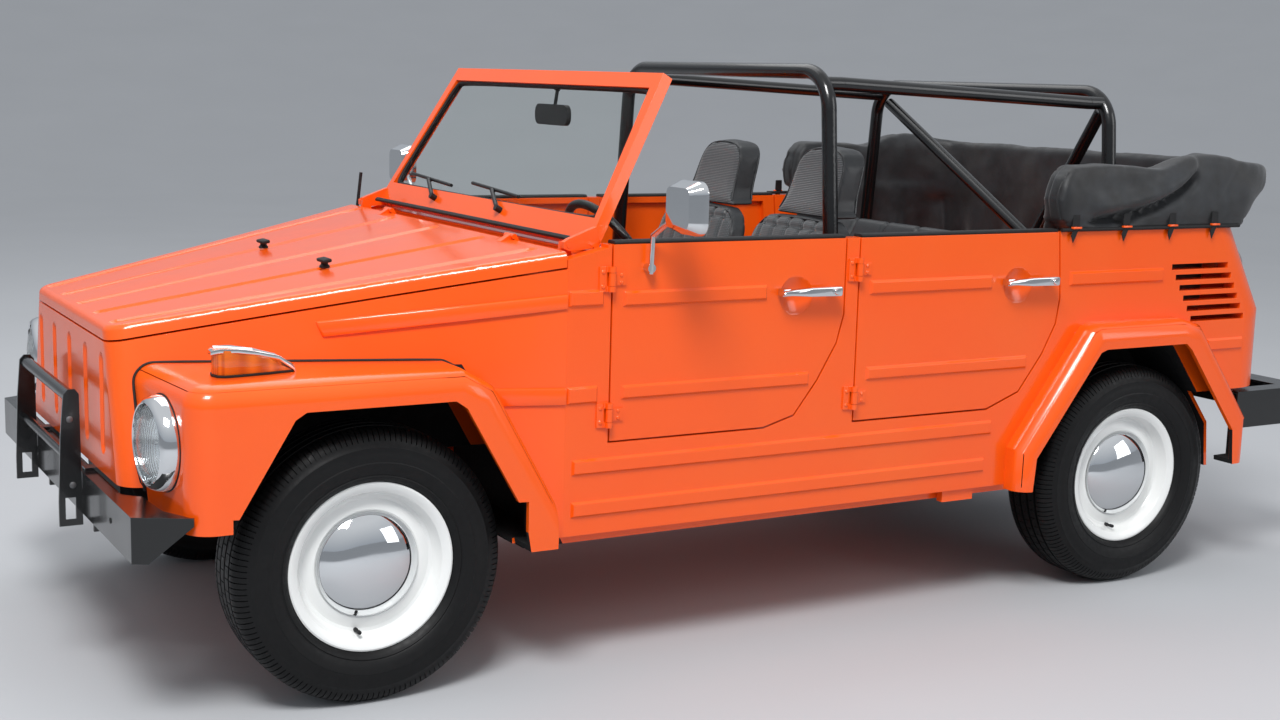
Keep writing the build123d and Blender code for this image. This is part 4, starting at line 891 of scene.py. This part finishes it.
class BuildTrim(bpy.types.Operator):
    """Lay the rubber strips, welting and screen gasket"""

    bl_idname = "utility_car.trim"
    bl_label = "Rubber trim"

    def execute(self, context):
        for hand_name, hand in SIDES:
            for place, rear, front in (("front", -22, 672), ("rear", -768, -76)):
                strip = slab(f"door_{place}_{hand_name}_strip", [
                    (front, 707, 1072.2), (front, 745, 1072.2), (front, 747, 1077), (front, 741, 1081),
                    (front, 712, 1081), (front, 707, 1077)], (rear - front, 0, 0))
                self.on_side(strip, hand)
                finish(strip, f"door_{place}_{hand_name}", "rubber", edge_mm=1.5)
        seal = slab("cowl_seal", [
            (x, 652, z) for x, z in ((738, 1076), (752, 1074), (754, 1080), (746, 1086), (736, 1084))
        ], (0, -1304, 0))
        finish(seal, "chassis", "rubber", edge_mm=1)
        self.screen_gaskets()
        for hand_name, hand in SIDES:
            piece = tube(f"fender_welting_{hand_name}", WELTING, 3.4)
            self.on_side(piece, hand)
            finish(piece, "chassis", "rubber", smooth=60)
        return {"FINISHED"}

    def on_side(self, piece, hand):
        """Mirror a piece made on the left when it belongs on the right."""
        if hand < 0:
            only(piece, "EDIT")
            flip()

    def screen_gaskets(self):
        """A rubber cord round the glass on each face."""
        back, up = math.cos(SCREEN_LEAN), math.sin(SCREEN_LEAN)
        low, high = SCREEN_CORNERS
        for side_name, out in (("front", 4), ("rear", -4)):
            ring = []
            for half, height in (low, high, (-high[0], high[1]), (-low[0], 0)):
                x = SCREEN_FOOT[0] + back * height + up * out
                ring.append((x, half, SCREEN_FOOT[1] + up * height - back * out))
            line = []
            for corner, following in zip(ring, ring[1:] + ring[:1]):
                for share in (0.03, 0.5, 0.97):
                    line.append(tuple(a + (b - a) * share for a, b in zip(corner, following)))
            finish(tube(f"screen_gasket_{side_name}", line, 6, closed=True), "windscreen", "rubber", smooth=60)


# The air pressure that swells a pad, and the frames it is given
PAD_PRESSURE = 4.0
PAD_FRAMES = 20


def swell(piece, voxel_mm, cap_mm):
    """Remesh a closed form, swell it as cloth under pressure, cap how far it moved, and smooth it once."""
    apply_modifier(piece, "REMESH", {"mode": "VOXEL", "voxel_size": voxel_mm / 1000})
    before = [vertex.co.copy() for vertex in piece.data.vertices]
    only(piece)
    cloth = piece.modifiers.new("cloth", "CLOTH")
    cloth.settings.use_pressure = True
    cloth.settings.uniform_pressure_force = PAD_PRESSURE
    cloth.settings.effector_weights.gravity = 0.0
    for step in range(1, PAD_FRAMES + 1):
        bpy.context.scene.frame_set(step)
    bpy.ops.object.modifier_apply(modifier=cloth.name)
    bpy.context.scene.frame_set(1)
    cap = cap_mm / 1000
    for vertex, start in zip(piece.data.vertices, before):
        move = vertex.co - start
        if move.length > cap:
            vertex.co = start + move * (cap / move.length)
    apply_modifier(piece, "SUBSURF", {"levels": 1, "render_levels": 1})


def press(piece, depth_at):
    """Move each vertex in along its normal by depth_at(place in mm, normal), in millimetres."""
    places = [(v.co.copy(), v.normal.copy()) for v in piece.data.vertices]
    for vertex, (place, normal) in zip(piece.data.vertices, places):
        vertex.co = place - normal * (depth_at(place * 1000, normal) / 1000)


def valley(distance_mm, width_mm):
    """A seam's smooth valley: 1 on the seam, 0 away from it."""
    return math.exp(-((distance_mm / width_mm) ** 2))


def off_seam(y, seams):
    """How far a place lies from the nearest of these seams."""
    return min(abs(y - seam) for seam in seams)


def faced(piece, second, chosen):
    """Give the faces that chosen(middle in mm, normal) picks a second finish."""
    piece.data.materials.append(FINISH[second])
    for face in piece.data.polygons:
        if chosen(face.center * 1000, face.normal):
            face.material_index = 1


def laid_on(piece, name, points, radius_mm):
    """Piping along a line of places, each drawn to the piece's own surface."""
    line = [piece.closest_point_on_mesh(mm(*point))[1] * 1000 for point in points]
    return tube(name, [tuple(place) for place in line], radius_mm)


# Half outlines of the front seat as (y, z): lower backrest and head section
BACK_HALF = ((0, 512), (150, 512), (205, 520), (226, 560), (230, 700), (232, 850), (230, 985), (218, 1036),
             (196, 1070), (160, 1094), (0, 1100))
HEAD_HALF = ((0, 1088), (156, 1088), (140, 1108), (130, 1140), (125, 1200), (117, 1243), (97, 1272), (64, 1287),
             (0, 1291))
# The planes of their fronts: x at the floor and x gained for each millimetre of height
BACK_PLANE = (152.7, -0.2727)
HEAD_PLANE = (341.6, -0.32)
# The sewn seams across the front seats and the bench, and each front seat's place
SEAT_SEAMS = (-160, -95, -32, 32, 95, 160)
BENCH_SEAMS = (-330, -165, 0, 165, 330)
LEFT_SEAT = (-18, 300, 0)
RIGHT_SEAT = (-56, -300, -6)


def leaned(half, plane, behind):
    """A half outline of (y, z) made whole, this far behind a leaning plane."""
    whole = [*half, *((-y, z) for y, z in reversed(half[1:-1]))]
    return [(plane[0] - behind + plane[1] * z, y, z) for y, z in whole]


class BuildSeats(bpy.types.Operator):
    """Model the high-back front seats and the rear bench as stuffed and sewn upholstery"""

    bl_idname = "utility_car.seats"
    bl_label = "Seats"

    def execute(self, context):
        cushion = slab("seat_cushion_left", [
            (x, 226, z) for x, z in (
                (340, 505), (368, 560), (366, 618), (336, 628), (150, 618), (-52, 596), (-58, 520), (-44, 480))
        ], (0, -452, 0))
        swell(soften(cushion, 30, 3), 10, 13)
        press(cushion, lambda p, n: 8 * valley(off_seam(p.y, SEAT_SEAMS), 7)
              if n.z > 0.4 and -20 < p.x < 300 else 0)
        self.upholster(cushion, lambda p, n: n.z > 0.55 and abs(p.y) < 200 and p.x < 330)
        back = slab("seat_back_left", leaned(BACK_HALF, BACK_PLANE, 10), (-68, 0, 0))
        swell(soften(back, 16, 2), 10, 10)
        press(back, lambda p, n: 8 * valley(off_seam(p.y, SEAT_SEAMS), 7)
              + 7 * valley(p.z - 1062, 6) if n.x > 0.3 and p.z > 560 and abs(p.y) < 215 else 0)
        self.upholster(back, lambda p, n: n.x > 0.6)
        head = slab("seat_head_left", leaned(HEAD_HALF, HEAD_PLANE, 176), (-78, 0, 0))
        swell(soften(head, 6, 2), 7, 4)
        self.upholster(head, lambda p, n: abs(n.x) > 0.75, "ribbed_cloth")
        pads = [cushion, back, head]
        trims = self.piping(back, BACK_HALF, BACK_PLANE, (8,), 540)
        trims += self.piping(head, HEAD_HALF, HEAD_PLANE, (173, 253), 1100)
        base = slab("seat_frame_left", [
            (300, 178, 341), (290, 178, 500), (10, 178, 496), (0, 178, 341)], (0, -356, 0))
        trims.append(finish(base, "chassis", "black_paint", edge_mm=8))
        for piece in (*pads, *trims):
            twin = copied(piece, piece.name.replace("left", "right"), RIGHT_SEAT)
            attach(twin, "chassis")
            moved(piece, LEFT_SEAT)
        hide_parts("front_seats")
        self.bench()
        return {"FINISHED"}

    def upholster(self, piece, chosen, cloth="flecked_cloth"):
        """Vinyl all round and woven cloth on the chosen faces."""
        finish(piece, "chassis", "seat_vinyl", smooth=50)
        faced(piece, cloth, chosen)

    def piping(self, piece, half, plane, depths, low):
        """Piping round a pad above a height, on its front edge and, at a second depth, on its rear edge."""
        made = []
        for depth, name in zip(depths, ("piping", "rear_piping")):
            edge = [point for point in leaned(half, plane, depth) if point[2] > low]
            line = [point for point in edge if point[1] > 0] + [point for point in edge if point[1] == 0]
            line += [point for point in edge if point[1] < 0]
            strip = laid_on(piece, f"{piece.name}_{name}", line, 3.2)
            made.append(finish(strip, "chassis", "seat_vinyl", smooth=60))
        return made

    def bench(self):
        """The rear bench: a low seat and a raked back in smooth vinyl, with broad sewn panels."""
        forms = (
            ("bench_cushion", ((-308, 500), (-298, 592), (-330, 606), (-740, 584), (-775, 560), (-775, 495))),
            ("bench_back", ((-768, 560), (-742, 606), (-856, 1036), (-892, 1036), (-896, 790))),
        )
        for name, outline in forms:
            piece = slab(name, [(x, 486, z) for x, z in outline], (0, -972, 0))
            swell(soften(piece, 20, 2), 13, 12)
            press(piece, lambda p, n: 9 * valley(off_seam(p.y, BENCH_SEAMS), 8)
                  if n.x > 0.3 or n.z > 0.5 else 0)
            finish(piece, "chassis", "seat_vinyl", smooth=50)
            if name == "bench_back":
                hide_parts("rear_bench")
        base = slab("bench_frame", [
            (x, 480, z) for x, z in ((-292, 341), (-292, 490), (-638, 490), (-638, 341))], (0, -960, 0))
        finish(base, "chassis", "black_paint", edge_mm=6)


# The folded top's main crease on its side as (x, z), from the low front to the high rear
CREASE = ((-870, 1104), (-960, 1110), (-1060, 1124), (-1150, 1148), (-1230, 1182), (-1285, 1222), (-1305, 1240))
# The straps' places along each side, and a strap's outline as (x, z)
STRAPS = (-825, -1022, -1208, -1385)
STRAP_OUTLINE = (
    (-13, 1122), (13, 1122), (14, 1090), (10, 1078), (16, 1062), (8, 1040), (-2, 1060), (-10, 1078),
    (-14, 1090),
)
# The cloth that hangs inside the car below the fold, as (x, z)
DRAPE = ((-752, 1110), (-752, 930), (-800, 850), (-900, 815), (-1480, 810), (-1480, 1110))
# The hem's seam, and how far out the arms' inner sides lie
HEM_Z = 1097
ARM_INNER_Y = 660
# How far the near end of each arm is set back (left, right), and how far its inner side is drawn out
ARM_BACK = {True: 32, False: 95}
ARM_OUT = 44
# The seam across each arm's end as (x, z)
TOP_SEAM = ((-765, 1090), (-745, 1120), (-737, 1166), (-752, 1222), (-786, 1252))


def crease_height(x):
    """The crease's height at this station, or None past its ends."""
    for (x1, z1), (x2, z2) in zip(CREASE, CREASE[1:]):
        if x2 <= x <= x1:
            return z1 + (z2 - z1) * (x1 - x) / (x1 - x2)
    return None


def top_fold(place, normal):
    """How far the folded top's surface is drawn in: hem, crease and sag, less its stuffed bulge."""
    x, y, z = place
    outer = abs(y) > ARM_INNER_Y and x > -1700 and normal.y * y > 0
    drawn = 5 * valley(z - HEM_Z, 5) if abs(y) > ARM_INNER_Y or x < -1600 else 0
    if outer:
        drawn -= 7 * math.sin(math.pi * min(1, max(0, (z - 1100) / 160)))
        height = crease_height(x)
        if height is not None:
            front, rear = CREASE[0][0], CREASE[-1][0]
            fade = min(1, (front - x) / 60, (x - rear) / 25) if x < front else 0
            gap = z - height
            drawn += max(0, fade) * (42 * valley(gap + 5, 15) - 18 * valley(gap - 34, 26))
        drawn += 7 * valley((x + 1430) + (z - 1180) * 0.6, 16) * valley(z - 1190, 60)
        drawn += 4 * valley((x + 800) - (z - 1225) * 0.9, 8) * valley(z - 1215, 30)
        drawn += 3 * valley((x + 835) - (z - 1225) * 0.7, 8) * valley(z - 1205, 26)
    elif normal.x < -0.3:
        drawn += 14 * valley(z - 1165 - 0.03 * y, 18) - 8 * valley(z - 1215, 30)
    return drawn


class BuildFoldedTop(bpy.types.Operator):
    """Model the folded fabric top with its creases, hem, seams, straps and hooks"""

    bl_idname = "utility_car.folded_top"
    bl_label = "Folded top"

    def execute(self, context):
        piece = added("folded_top_fabric", frame["nodes"]["folded_top"].data.copy())
        only(piece, "EDIT")
        bpy.ops.mesh.remove_doubles(threshold=2e-5)
        across = [(-1490, 610, 810), (-1490, 610, 1110), (-1490, -610, 1110), (-1490, -610, 810)]
        drapes = [slab("drape", [(x, y, z) for x, z in DRAPE], (0, 22, 0)) for y in (612, -634)]
        piece = joined("folded_top_fabric", [piece, *drapes, slab("drape", across, (22, 0, 0))])
        apply_modifier(piece, "REMESH", {"mode": "VOXEL", "voxel_size": 0.01})
        self.settle(piece)
        apply_modifier(piece, "SMOOTH", {"factor": 0.6, "iterations": 12})
        press(piece, top_fold)
        waves = bpy.data.textures.new("fabric waves", "CLOUDS")
        waves.noise_scale = 0.14
        apply_modifier(piece, "DISPLACE", {"texture": waves, "strength": 0.016, "mid_level": 0.5})
        apply_modifier(piece, "SMOOTH", {"factor": 0.5, "iterations": 2})
        finish(piece, "chassis", "vinyl", smooth=60, replaces=("folded_top",))
        for hand_name, hand in SIDES:
            seam = laid_on(piece, f"top_seam_{hand_name}", [(x, 741 * hand, z) for x, z in TOP_SEAM], 3.4)
            finish(seam, "chassis", "vinyl", smooth=60)
            hem = [(x, 752 * hand, 1078) for x in range(-775, -1541, -90)]
            finish(tube(f"top_hem_{hand_name}", hem, 5.5), "chassis", "rubber", smooth=60)
            self.straps(hand_name, hand)
        return {"FINISHED"}

    def settle(self, piece):
        """Shape the remeshed roll: arms, inner side, hanging waves, and the tuck under its rear."""
        for vertex in piece.data.vertices:
            x, y, z = vertex.co * 1000
            back = min(1, max(0, (x + 1010) / 240))
            vertex.co.x -= back * ARM_BACK[y > 0] / 1000
            if abs(y) < 700 and x > -1440:
                drawn = math.copysign(min(1, (700 - abs(y)) / 50) * ARM_OUT, y)
                vertex.co.y += drawn * min(1, (x + 1440) / 120) / 1000
            hang = min(1, max(0, (1070 - z) / 120))
            if abs(y) > 560 and x > -1460:
                fold = 9 * math.sin(x / 31 + 1.4 * math.sin(z / 90)) + 5 * math.sin(x / 13)
                vertex.co.y += hang * fold / 1000
            elif hang:
                vertex.co.x += hang * (9 * math.sin(y / 37) + 4 * math.sin(y / 15)) / 1000
            tuck = min(1, max(0, (-1500 - x) / 150))
            vertex.co.x += tuck * max(0, 1205 - z) / 125 * 0.1
            droop = min(1, max(0, (-1600 - x) / 150)) ** 1.5
            vertex.co.z -= droop * 0.05 * min(1, max(0, (z - 1150) / 60))

    def straps(self, hand_name, hand):
        """Four straps through painted hooks on one side."""
        straps, hooks = [], []
        skin = 753 * hand
        for x in STRAPS:
            strap = slab("strap", [(x + dx, skin, z) for dx, z in STRAP_OUTLINE], (0, 4 * hand, 0))
            straps.append(soften(strap, 1.2, 1))
            corners = ((-17, 1081), (-17, 1087), (17, 1087), (17, 1081))
            hook = slab("hook", [(x + dx, skin, z) for dx, z in corners], (0, 11 * hand, 0))
            hooks.append(soften(hook, 2, 2))
        finish(joined(f"top_straps_{hand_name}", straps), "chassis", "rubber")
        finish(joined(f"top_hooks_{hand_name}", hooks), "chassis", "body_paint")


def screw_head(name, place, radius_mm, axis, hand=1):
    """A round-head screw on the X axis, or on the Y axis facing out on one side of the car."""
    section = [(0, 0), (1, 0), (1, 0.8), (0.75, 2.2), (0.3, 2.8), (0, 2.9)]
    head = turned(name, [(radius_mm * share, out) for share, out in section], 16, axis)
    if hand < 0:
        flip()
    return moved(head, place)


# The front lid's skin below the two rests, and the rests' places as x and half y
REST_Z = 979
REST_PLACE = (1236, 250)
# Each door's hinges: place, x of the pin, heights
HINGES = (("front", 683, (988, 650)), ("rear", -66, (988, 642)))
# A door mirror's glass as (y, z) from its middle
MIRROR_OUTLINE = ((-56, -30), (-30, -56), (30, -56), (56, -30), (56, 30), (30, 56), (-30, 56), (-56, 30))
# A pull handle's paddle as (x, z)
HANDLE_OUTLINE = (
    (198, 935), (192, 942), (165, 946), (110, 949), (15, 950), (11, 946), (11, 928), (15, 924), (110, 926),
    (165, 930), (192, 931),
)
# How far the rear doors' handles lie behind the front doors'
HANDLE_STEP = -758


class BuildHardware(bpy.types.Operator):
    """Fit hinge screws, mirror glass, door handles, lid rests and the bumper's and guard's bolts"""

    bl_idname = "utility_car.hardware"
    bl_label = "Hardware"

    def execute(self, context):
        for hand_name, hand in SIDES:
            fixed = []
            for place, front, rows in HINGES:
                moving = []
                for z in rows:
                    fixed += [screw_head("screw", (front + 22, 751 * hand, z + rise), 5.5, "Y", hand)
                              for rise in (-18, 18)]
                    moving += [screw_head("screw", (front - 28, 751 * hand, z + rise), 5, "Y", hand)
                               for rise in (-9, 9)]
                door_screws = joined(f"hinge_screws_{place}_{hand_name}", moving)
                finish(door_screws, f"door_{place}_{hand_name}", "body_paint")
            finish(joined(f"hinge_screws_body_{hand_name}", fixed), "chassis", "body_paint")
            glass = slab(f"mirror_glass_{hand_name}", [
                (542, (896 + y) * hand, 1171 + z) for y, z in MIRROR_OUTLINE], (-2.5, 0, 0))
            finish(glass, f"door_front_{hand_name}", "mirror", edge_mm=1)
        self.handles()
        self.rests()
        bolts = [screw_head("bolt", (x, 275 * hand, z), 8, "Y", hand)
                 for hand in (1, -1) for x, z in ((1876, 640), (1872, 480))]
        finish(joined("guard_bolts", bolts), "chassis", "steel")
        heads = [screw_head("bolt", (1850.5, y, 459), 7, "X") for y in (-262, 262, -560, 560)]
        finish(joined("bumper_bolts", heads), "chassis", "black_paint")
        return {"FINISHED"}

    def handles(self):
        """Bright pull handles: a tapered paddle on two feet, with a round push button at its rear end."""
        grip = soften(slab("grip", [(x, 769, z) for x, z in HANDLE_OUTLINE], (0, 21, 0)), 5, 3)
        foot = ((0, 928), (26, 928), (24, 946), (2, 946))
        feet = [slab("foot", [(x + dx, 750, z) for dx, z in foot], (0, 24, 0)) for x in (14, 164)]
        button = turned("button", [(0, 789), (8.5, 789), (8.5, 795), (7, 797), (0, 797.5)], 24)
        grip = joined("door_handle_front_left_paddle", [grip, *feet, moved(button, (32, 0, 937))])
        finish(grip, "door_front_left", "chrome", smooth=40, replaces=("door_handle_front_left",))
        for place, shift in (("front_right", 0), ("rear_left", HANDLE_STEP), ("rear_right", HANDLE_STEP)):
            twin = copied(grip, f"door_handle_{place}_paddle", (shift, 0, 0), place.endswith("right"))
            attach(twin, f"door_{place}")
            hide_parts(f"door_handle_{place}")

    def rests(self):
        """The two rubber rests on the front lid: a low round foot under a bar across."""
        rests = []
        for y in (REST_PLACE[1], -REST_PLACE[1]):
            foot = upright(turned("rest", [(0, 0), (13, 0), (13, 5), (9, 9), (9, 22), (0, 22)], 24))
            corners = ((1224, 16), (1248, 13), (1250, 22), (1226, 26))
            bar = slab("bar", [(x, y - 27, REST_Z + rise) for x, rise in corners], (0, 54, 0))
            rests += [moved(foot, (REST_PLACE[0], y, REST_Z)), soften(bar, 4, 2)]
        made = joined("lid_rests_rubber", rests)
        finish(made, BODY_OF["lid_rests"], "rubber", smooth=40, replaces=("lid_rests",))


# The dial's middle on the dash
DIAL = (627.5, 300, 970)


class BuildCabin(bpy.types.Operator):
    """Add the dial, switches, pedals, gear lever and hand brake"""

    bl_idname = "utility_car.cabin"
    bl_label = "Cabin controls"

    def execute(self, context):
        self.dial()
        knob_section = [(0, 0), (5, 0), (5, -14), (13, -15), (14, -20), (12, -26), (0, -27)]
        knobs = [moved(turned("knob", knob_section, 20, "X"), (DIAL[0], y, 960)) for y in (200, 150, 100, -60)]
        finish(joined("dash_switches", knobs), "chassis", "plastic", smooth=40)
        for name, y in (("clutch", 395), ("brake", 300)):
            arm = tube(f"{name}_arm", [(700, y, 357), (690, y, 420), (660, y, 470), (640, y, 490)], 7)
            finish(arm, "chassis", "black_paint", smooth=60)
            pad = slab(f"{name}_pad", [
                (632, y - 30, 470), (632, y + 30, 470), (652, y + 28, 520), (652, y - 28, 520)], (-9, 0, 4))
            finish(pad, "chassis", "rubber", edge_mm=4)
        plate = slab("throttle_pad", [
            (650, 175, 358), (650, 225, 358), (742, 222, 480), (742, 178, 480)], (-7, 0, 5))
        finish(plate, "chassis", "rubber", edge_mm=3)
        lever = tube("gear_lever", [(210, 0, 459), (212, 0, 560), (200, 6, 660), (178, 10, 735)], 7)
        finish(lever, "chassis", "black_paint", smooth=60)
        knob = upright(turned("gear_knob", [
            (0, -22), (9, -22), (17, -14), (22, 0), (19, 13), (10, 21), (0, 23)], 32))
        finish(moved(knob, (174, 11, 752)), "chassis", "plastic", smooth=60)
        boot = upright(turned("gear_boot", [
            (0, 0), (58, 0), (52, 8), (40, 14), (34, 26), (22, 34), (14, 52), (8, 56), (0, 56)], 32))
        finish(moved(boot, (210, 0, 459)), "chassis", "rubber", smooth=60)
        brake = tube("hand_brake", [(60, 0, 462), (40, 0, 500), (-20, 0, 548), (-130, 0, 580)], 10)
        finish(brake, "chassis", "plastic", smooth=60)
        return {"FINISHED"}

    def dial(self):
        """A round dial in a bright bezel, with plain strokes round its edge and a pointer."""
        bezel = turned("dial_bezel", [
            (50, 0), (62, 0), (63, -4), (60, -9), (54, -10), (50, -6), (50, 0)], 64, "X")
        finish(moved(bezel, DIAL), "chassis", "chrome", smooth=40)
        face = turned("dial_face", [(0, 0), (51, 0), (51, -3), (0, -3)], 64, "X")
        finish(moved(face, DIAL), "chassis", "dial")
        marks = [slab("pointer", [(624.4, 297, 962), (624.4, 303, 962), (624.4, 282, 1000)], (-1, 0, 0))]
        for turn in range(-120, 121, 24):
            along, across = math.cos(math.radians(turn)), -math.sin(math.radians(turn))
            corners = [(radius * across + side * along, radius * along - side * across)
                       for radius, side in ((36, -1.3), (36, 1.3), (47, 1.3), (47, -1.3))]
            marks.append(slab("mark", [(624.5, DIAL[1] + y, DIAL[2] + z) for y, z in corners], (-0.5, 0, 0)))
        finish(joined("dial_marks", marks), "chassis", "wheel_paint")


# The photograph's viewpoint, as a real camera stood there
EYE = Vector((2.714, 4.434, 1.480))
LOOK = Vector((-0.4919, -0.8555, -0.1619))
UPWARD = Vector((-0.0571, -0.1539, 0.9864))
LENS_MM = 48.77
SENSOR_MM = 36.0


def area_lamp(name, place, target, size, power):
    """A square softbox at a place, facing a target."""
    lamp = bpy.data.lights.new(name, "AREA")
    lamp.size = size
    lamp.energy = power
    made = added(name, lamp)
    made.location = place
    made.rotation_euler = (Vector(target) - Vector(place)).to_track_quat("-Z", "Y").to_euler()


class BuildStage(bpy.types.Operator):
    """Add the studio floor, the lamps, the world and the camera"""

    bl_idname = "utility_car.stage"
    bl_label = "Studio and camera"

    def execute(self, context):
        scene = context.scene
        reach = scene.car.floor_size * 1000
        rise = [(reach * share, height) for share, height in (
            (1.15, 80), (1.3, 340), (1.5, 980), (2.0, 3100), (3.0, 8200))]
        floor = upright(turned("studio_floor", [(0, 0), (2500, 0), (6000, 0), (reach, 0), *rise], 96))
        only(floor)
        bpy.ops.object.shade_smooth_by_angle(angle=math.radians(60))
        made, tree, place = new_material("studio floor")
        close_material(tree, {
            "Base Color": mixed(tree, noise(tree, place, 900, 3), srgb("B0B2B5"), srgb("B5B7BA")),
            "Roughness": 0.9,
            "Specular IOR Level": 0.1,
        })
        floor.data.materials.append(made)
        area_lamp("key softbox", (3.6, 4.4, 7.0), (0.2, 0, 0.6), 2.4, 600)
        area_lamp("side softbox", (-5.0, 6.0, 3.4), (-0.3, 0, 0.6), 3.5, 90)
        area_lamp("top softbox", (0.0, -3.5, 6.5), (0, 0, 0.6), 5.0, 130)
        world = bpy.data.worlds.new("studio world")
        world.use_nodes = True
        sky = world.node_tree
        way = add_node(sky, "ShaderNodeTexCoord", {}, {}).outputs["Generated"]
        height = add_node(sky, "ShaderNodeSeparateXYZ", {}, {"Vector": way}).outputs["Z"]
        tone = mixed(sky, spread(sky, height, 0.1, 0.75, 0, 1), srgb("AEB6C0"), srgb("F4F7FB"))
        sky.links.new(tone, sky.nodes["Background"].inputs["Color"])
        sky.nodes["Background"].inputs["Strength"].default_value = 0.8
        scene.world = world
        lens = bpy.data.cameras.new("camera")
        lens.lens = LENS_MM
        lens.sensor_width = SENSOR_MM
        lens.clip_end = 200
        camera = added("camera", lens)
        right = LOOK.cross(UPWARD).normalized()
        up = right.cross(LOOK).normalized()
        turn = Matrix((right, up, -LOOK.normalized())).transposed().to_4x4()
        camera.matrix_world = Matrix.Translation(EYE) @ turn
        scene.camera = camera
        scene.view_settings.view_transform = "Standard"
        return {"FINISHED"}


class CarPanel(bpy.types.Panel):
    """Lists the car's operators in the sidebar"""

    bl_idname = "VIEW3D_PT_utility_car"
    bl_label = "Utility car"
    bl_space_type = "VIEW_3D"
    bl_region_type = "UI"
    bl_category = "Utility car"

    def draw(self, context):
        for operator in OPERATORS:
            self.layout.operator(operator.bl_idname)


OPERATORS = (BuildStage, MakeFinishes, RollPanelEdges, BuildTyres, BuildWheels, BuildLamps,
             BuildTrim, BuildSeats, BuildFoldedTop, BuildHardware, BuildCabin)
CLASSES = (CarSettings, *OPERATORS, CarPanel)


def register():
    for item in CLASSES:
        bpy.utils.register_class(item)
    bpy.types.Scene.car = bpy.props.PointerProperty(type=CarSettings)


def unregister():
    del bpy.types.Scene.car
    for item in reversed(CLASSES):
        bpy.utils.unregister_class(item)


def main():
    """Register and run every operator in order."""
    register()
    for operator in OPERATORS:
        group, name = operator.bl_idname.split(".")
        getattr(getattr(bpy.ops, group), name)()


if __name__ == "__main__":
    main()
